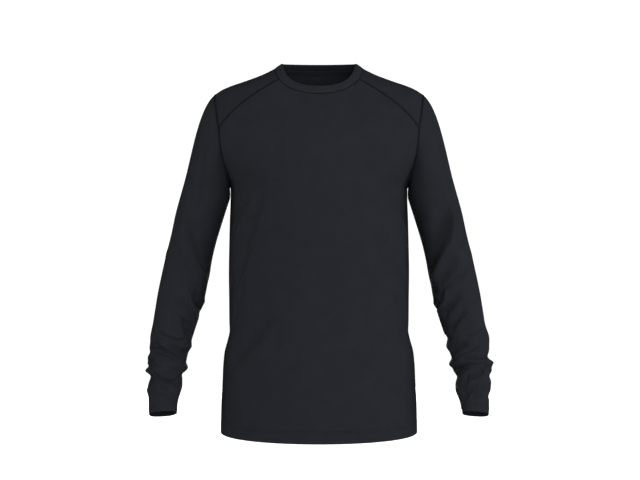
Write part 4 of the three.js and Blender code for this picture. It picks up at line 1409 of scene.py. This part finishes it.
def make_floor(studio):
    """A pale bowl: a flat floor turned about the vertical that curves up into a backdrop all round."""
    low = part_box("front")[0][2] - studio.floor_drop
    rise = np.linspace(0, math.pi / 2, 17)
    bend = 2.2
    radius = np.concatenate([np.linspace(0.02, studio.floor_radius, 9)[:-1],
                             studio.floor_radius + bend * np.sin(rise), [studio.floor_radius + bend]])
    height = np.concatenate([np.zeros(8), bend * (1 - np.cos(rise)), [bend + 2.6]]) + low
    turn = np.linspace(0, 2 * math.pi, 97)[:-1]
    points = np.stack([radius[:, None] * np.cos(turn), radius[:, None] * np.sin(turn),
                       np.broadcast_to(height[:, None], (len(radius), len(turn)))], -1)
    index = np.arange(points[..., 0].size).reshape(points.shape[:2])
    index = np.concatenate([index, index[:, :1]], 1)
    faces, _ = quads(index, np.zeros((*index.shape, 2)))
    mesh = bpy.data.meshes.new("floor")
    mesh.from_pydata(points.reshape(-1, 3), [], [*faces.tolist(), index[0, :-1].tolist()])
    mesh.shade_smooth()
    floor = bpy.data.objects.new("floor", mesh)
    bpy.context.scene.collection.objects.link(floor)
    material = bpy.data.materials.new("Pale Floor")
    material.use_nodes = True
    tree = material.node_tree
    shader = tree.nodes["Principled BSDF"]
    shader.inputs["Base Color"].default_value = (0.35, 0.35, 0.35, 1)
    shader.inputs["Roughness"].default_value = 1
    shader.inputs["Emission Color"].default_value = (1, 1, 1, 1)
    seen = tree.nodes.new("ShaderNodeLightPath").outputs["Is Camera Ray"]
    glow = Sums(tree).do("MULTIPLY_ADD", seen, 1.0, studio.backdrop_glow)
    tree.links.new(glow, shader.inputs["Emission Strength"])
    mesh.materials.append(material)


LIGHT_DISTANCE = 4
LIGHT_SIZE = 1.9
LIT_HEIGHT = -0.36  # what the lights face, on the vertical through the origin


def make_light(name, place, power):
    """A soft square light that faces the top's middle and isn't itself seen."""
    light = bpy.data.lights.new(name, "AREA")
    light.energy = power
    light.size = LIGHT_SIZE
    lamp = bpy.data.objects.new(name, light)
    lamp.location = place
    way = np.array([0, 0, LIT_HEIGHT]) - np.array(place)
    lamp.rotation_euler = (math.acos(-way[2] / np.linalg.norm(way)), 0, math.atan2(way[1], way[0]) - math.pi / 2)
    lamp.visible_camera = False
    bpy.context.scene.collection.objects.link(lamp)


VIEW_CENTRE = (0.002, -0.3387)  # the middle of the picture, across and up


def make_camera(studio):
    """A level camera in front, as far away and as wide as the settings say."""
    camera = bpy.data.cameras.new("view")
    camera.lens = camera.sensor_width * studio.view_distance / studio.view_width
    holder = bpy.data.objects.new("view", camera)
    holder.location = (VIEW_CENTRE[0], -studio.view_distance, VIEW_CENTRE[1])
    holder.rotation_euler = (math.pi / 2, 0, 0)
    bpy.context.scene.collection.objects.link(holder)
    bpy.context.scene.camera = holder


def register():
    for made in (*SETTINGS.values(), *OPERATORS, BASELAYER_PT_panel):
        bpy.utils.register_class(made)
    for name, settings in SETTINGS.items():
        setattr(bpy.types.Scene, name, PointerProperty(type=settings))


def unregister():
    for name in SETTINGS:
        delattr(bpy.types.Scene, name)
    for made in reversed((*SETTINGS.values(), *OPERATORS, BASELAYER_PT_panel)):
        bpy.utils.unregister_class(made)


def main():
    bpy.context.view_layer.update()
    register()
    for operator in OPERATORS:
        group, name = operator.bl_idname.split(".")
        getattr(getattr(bpy.ops, group), name)()


if __name__ == "__main__":
    main()
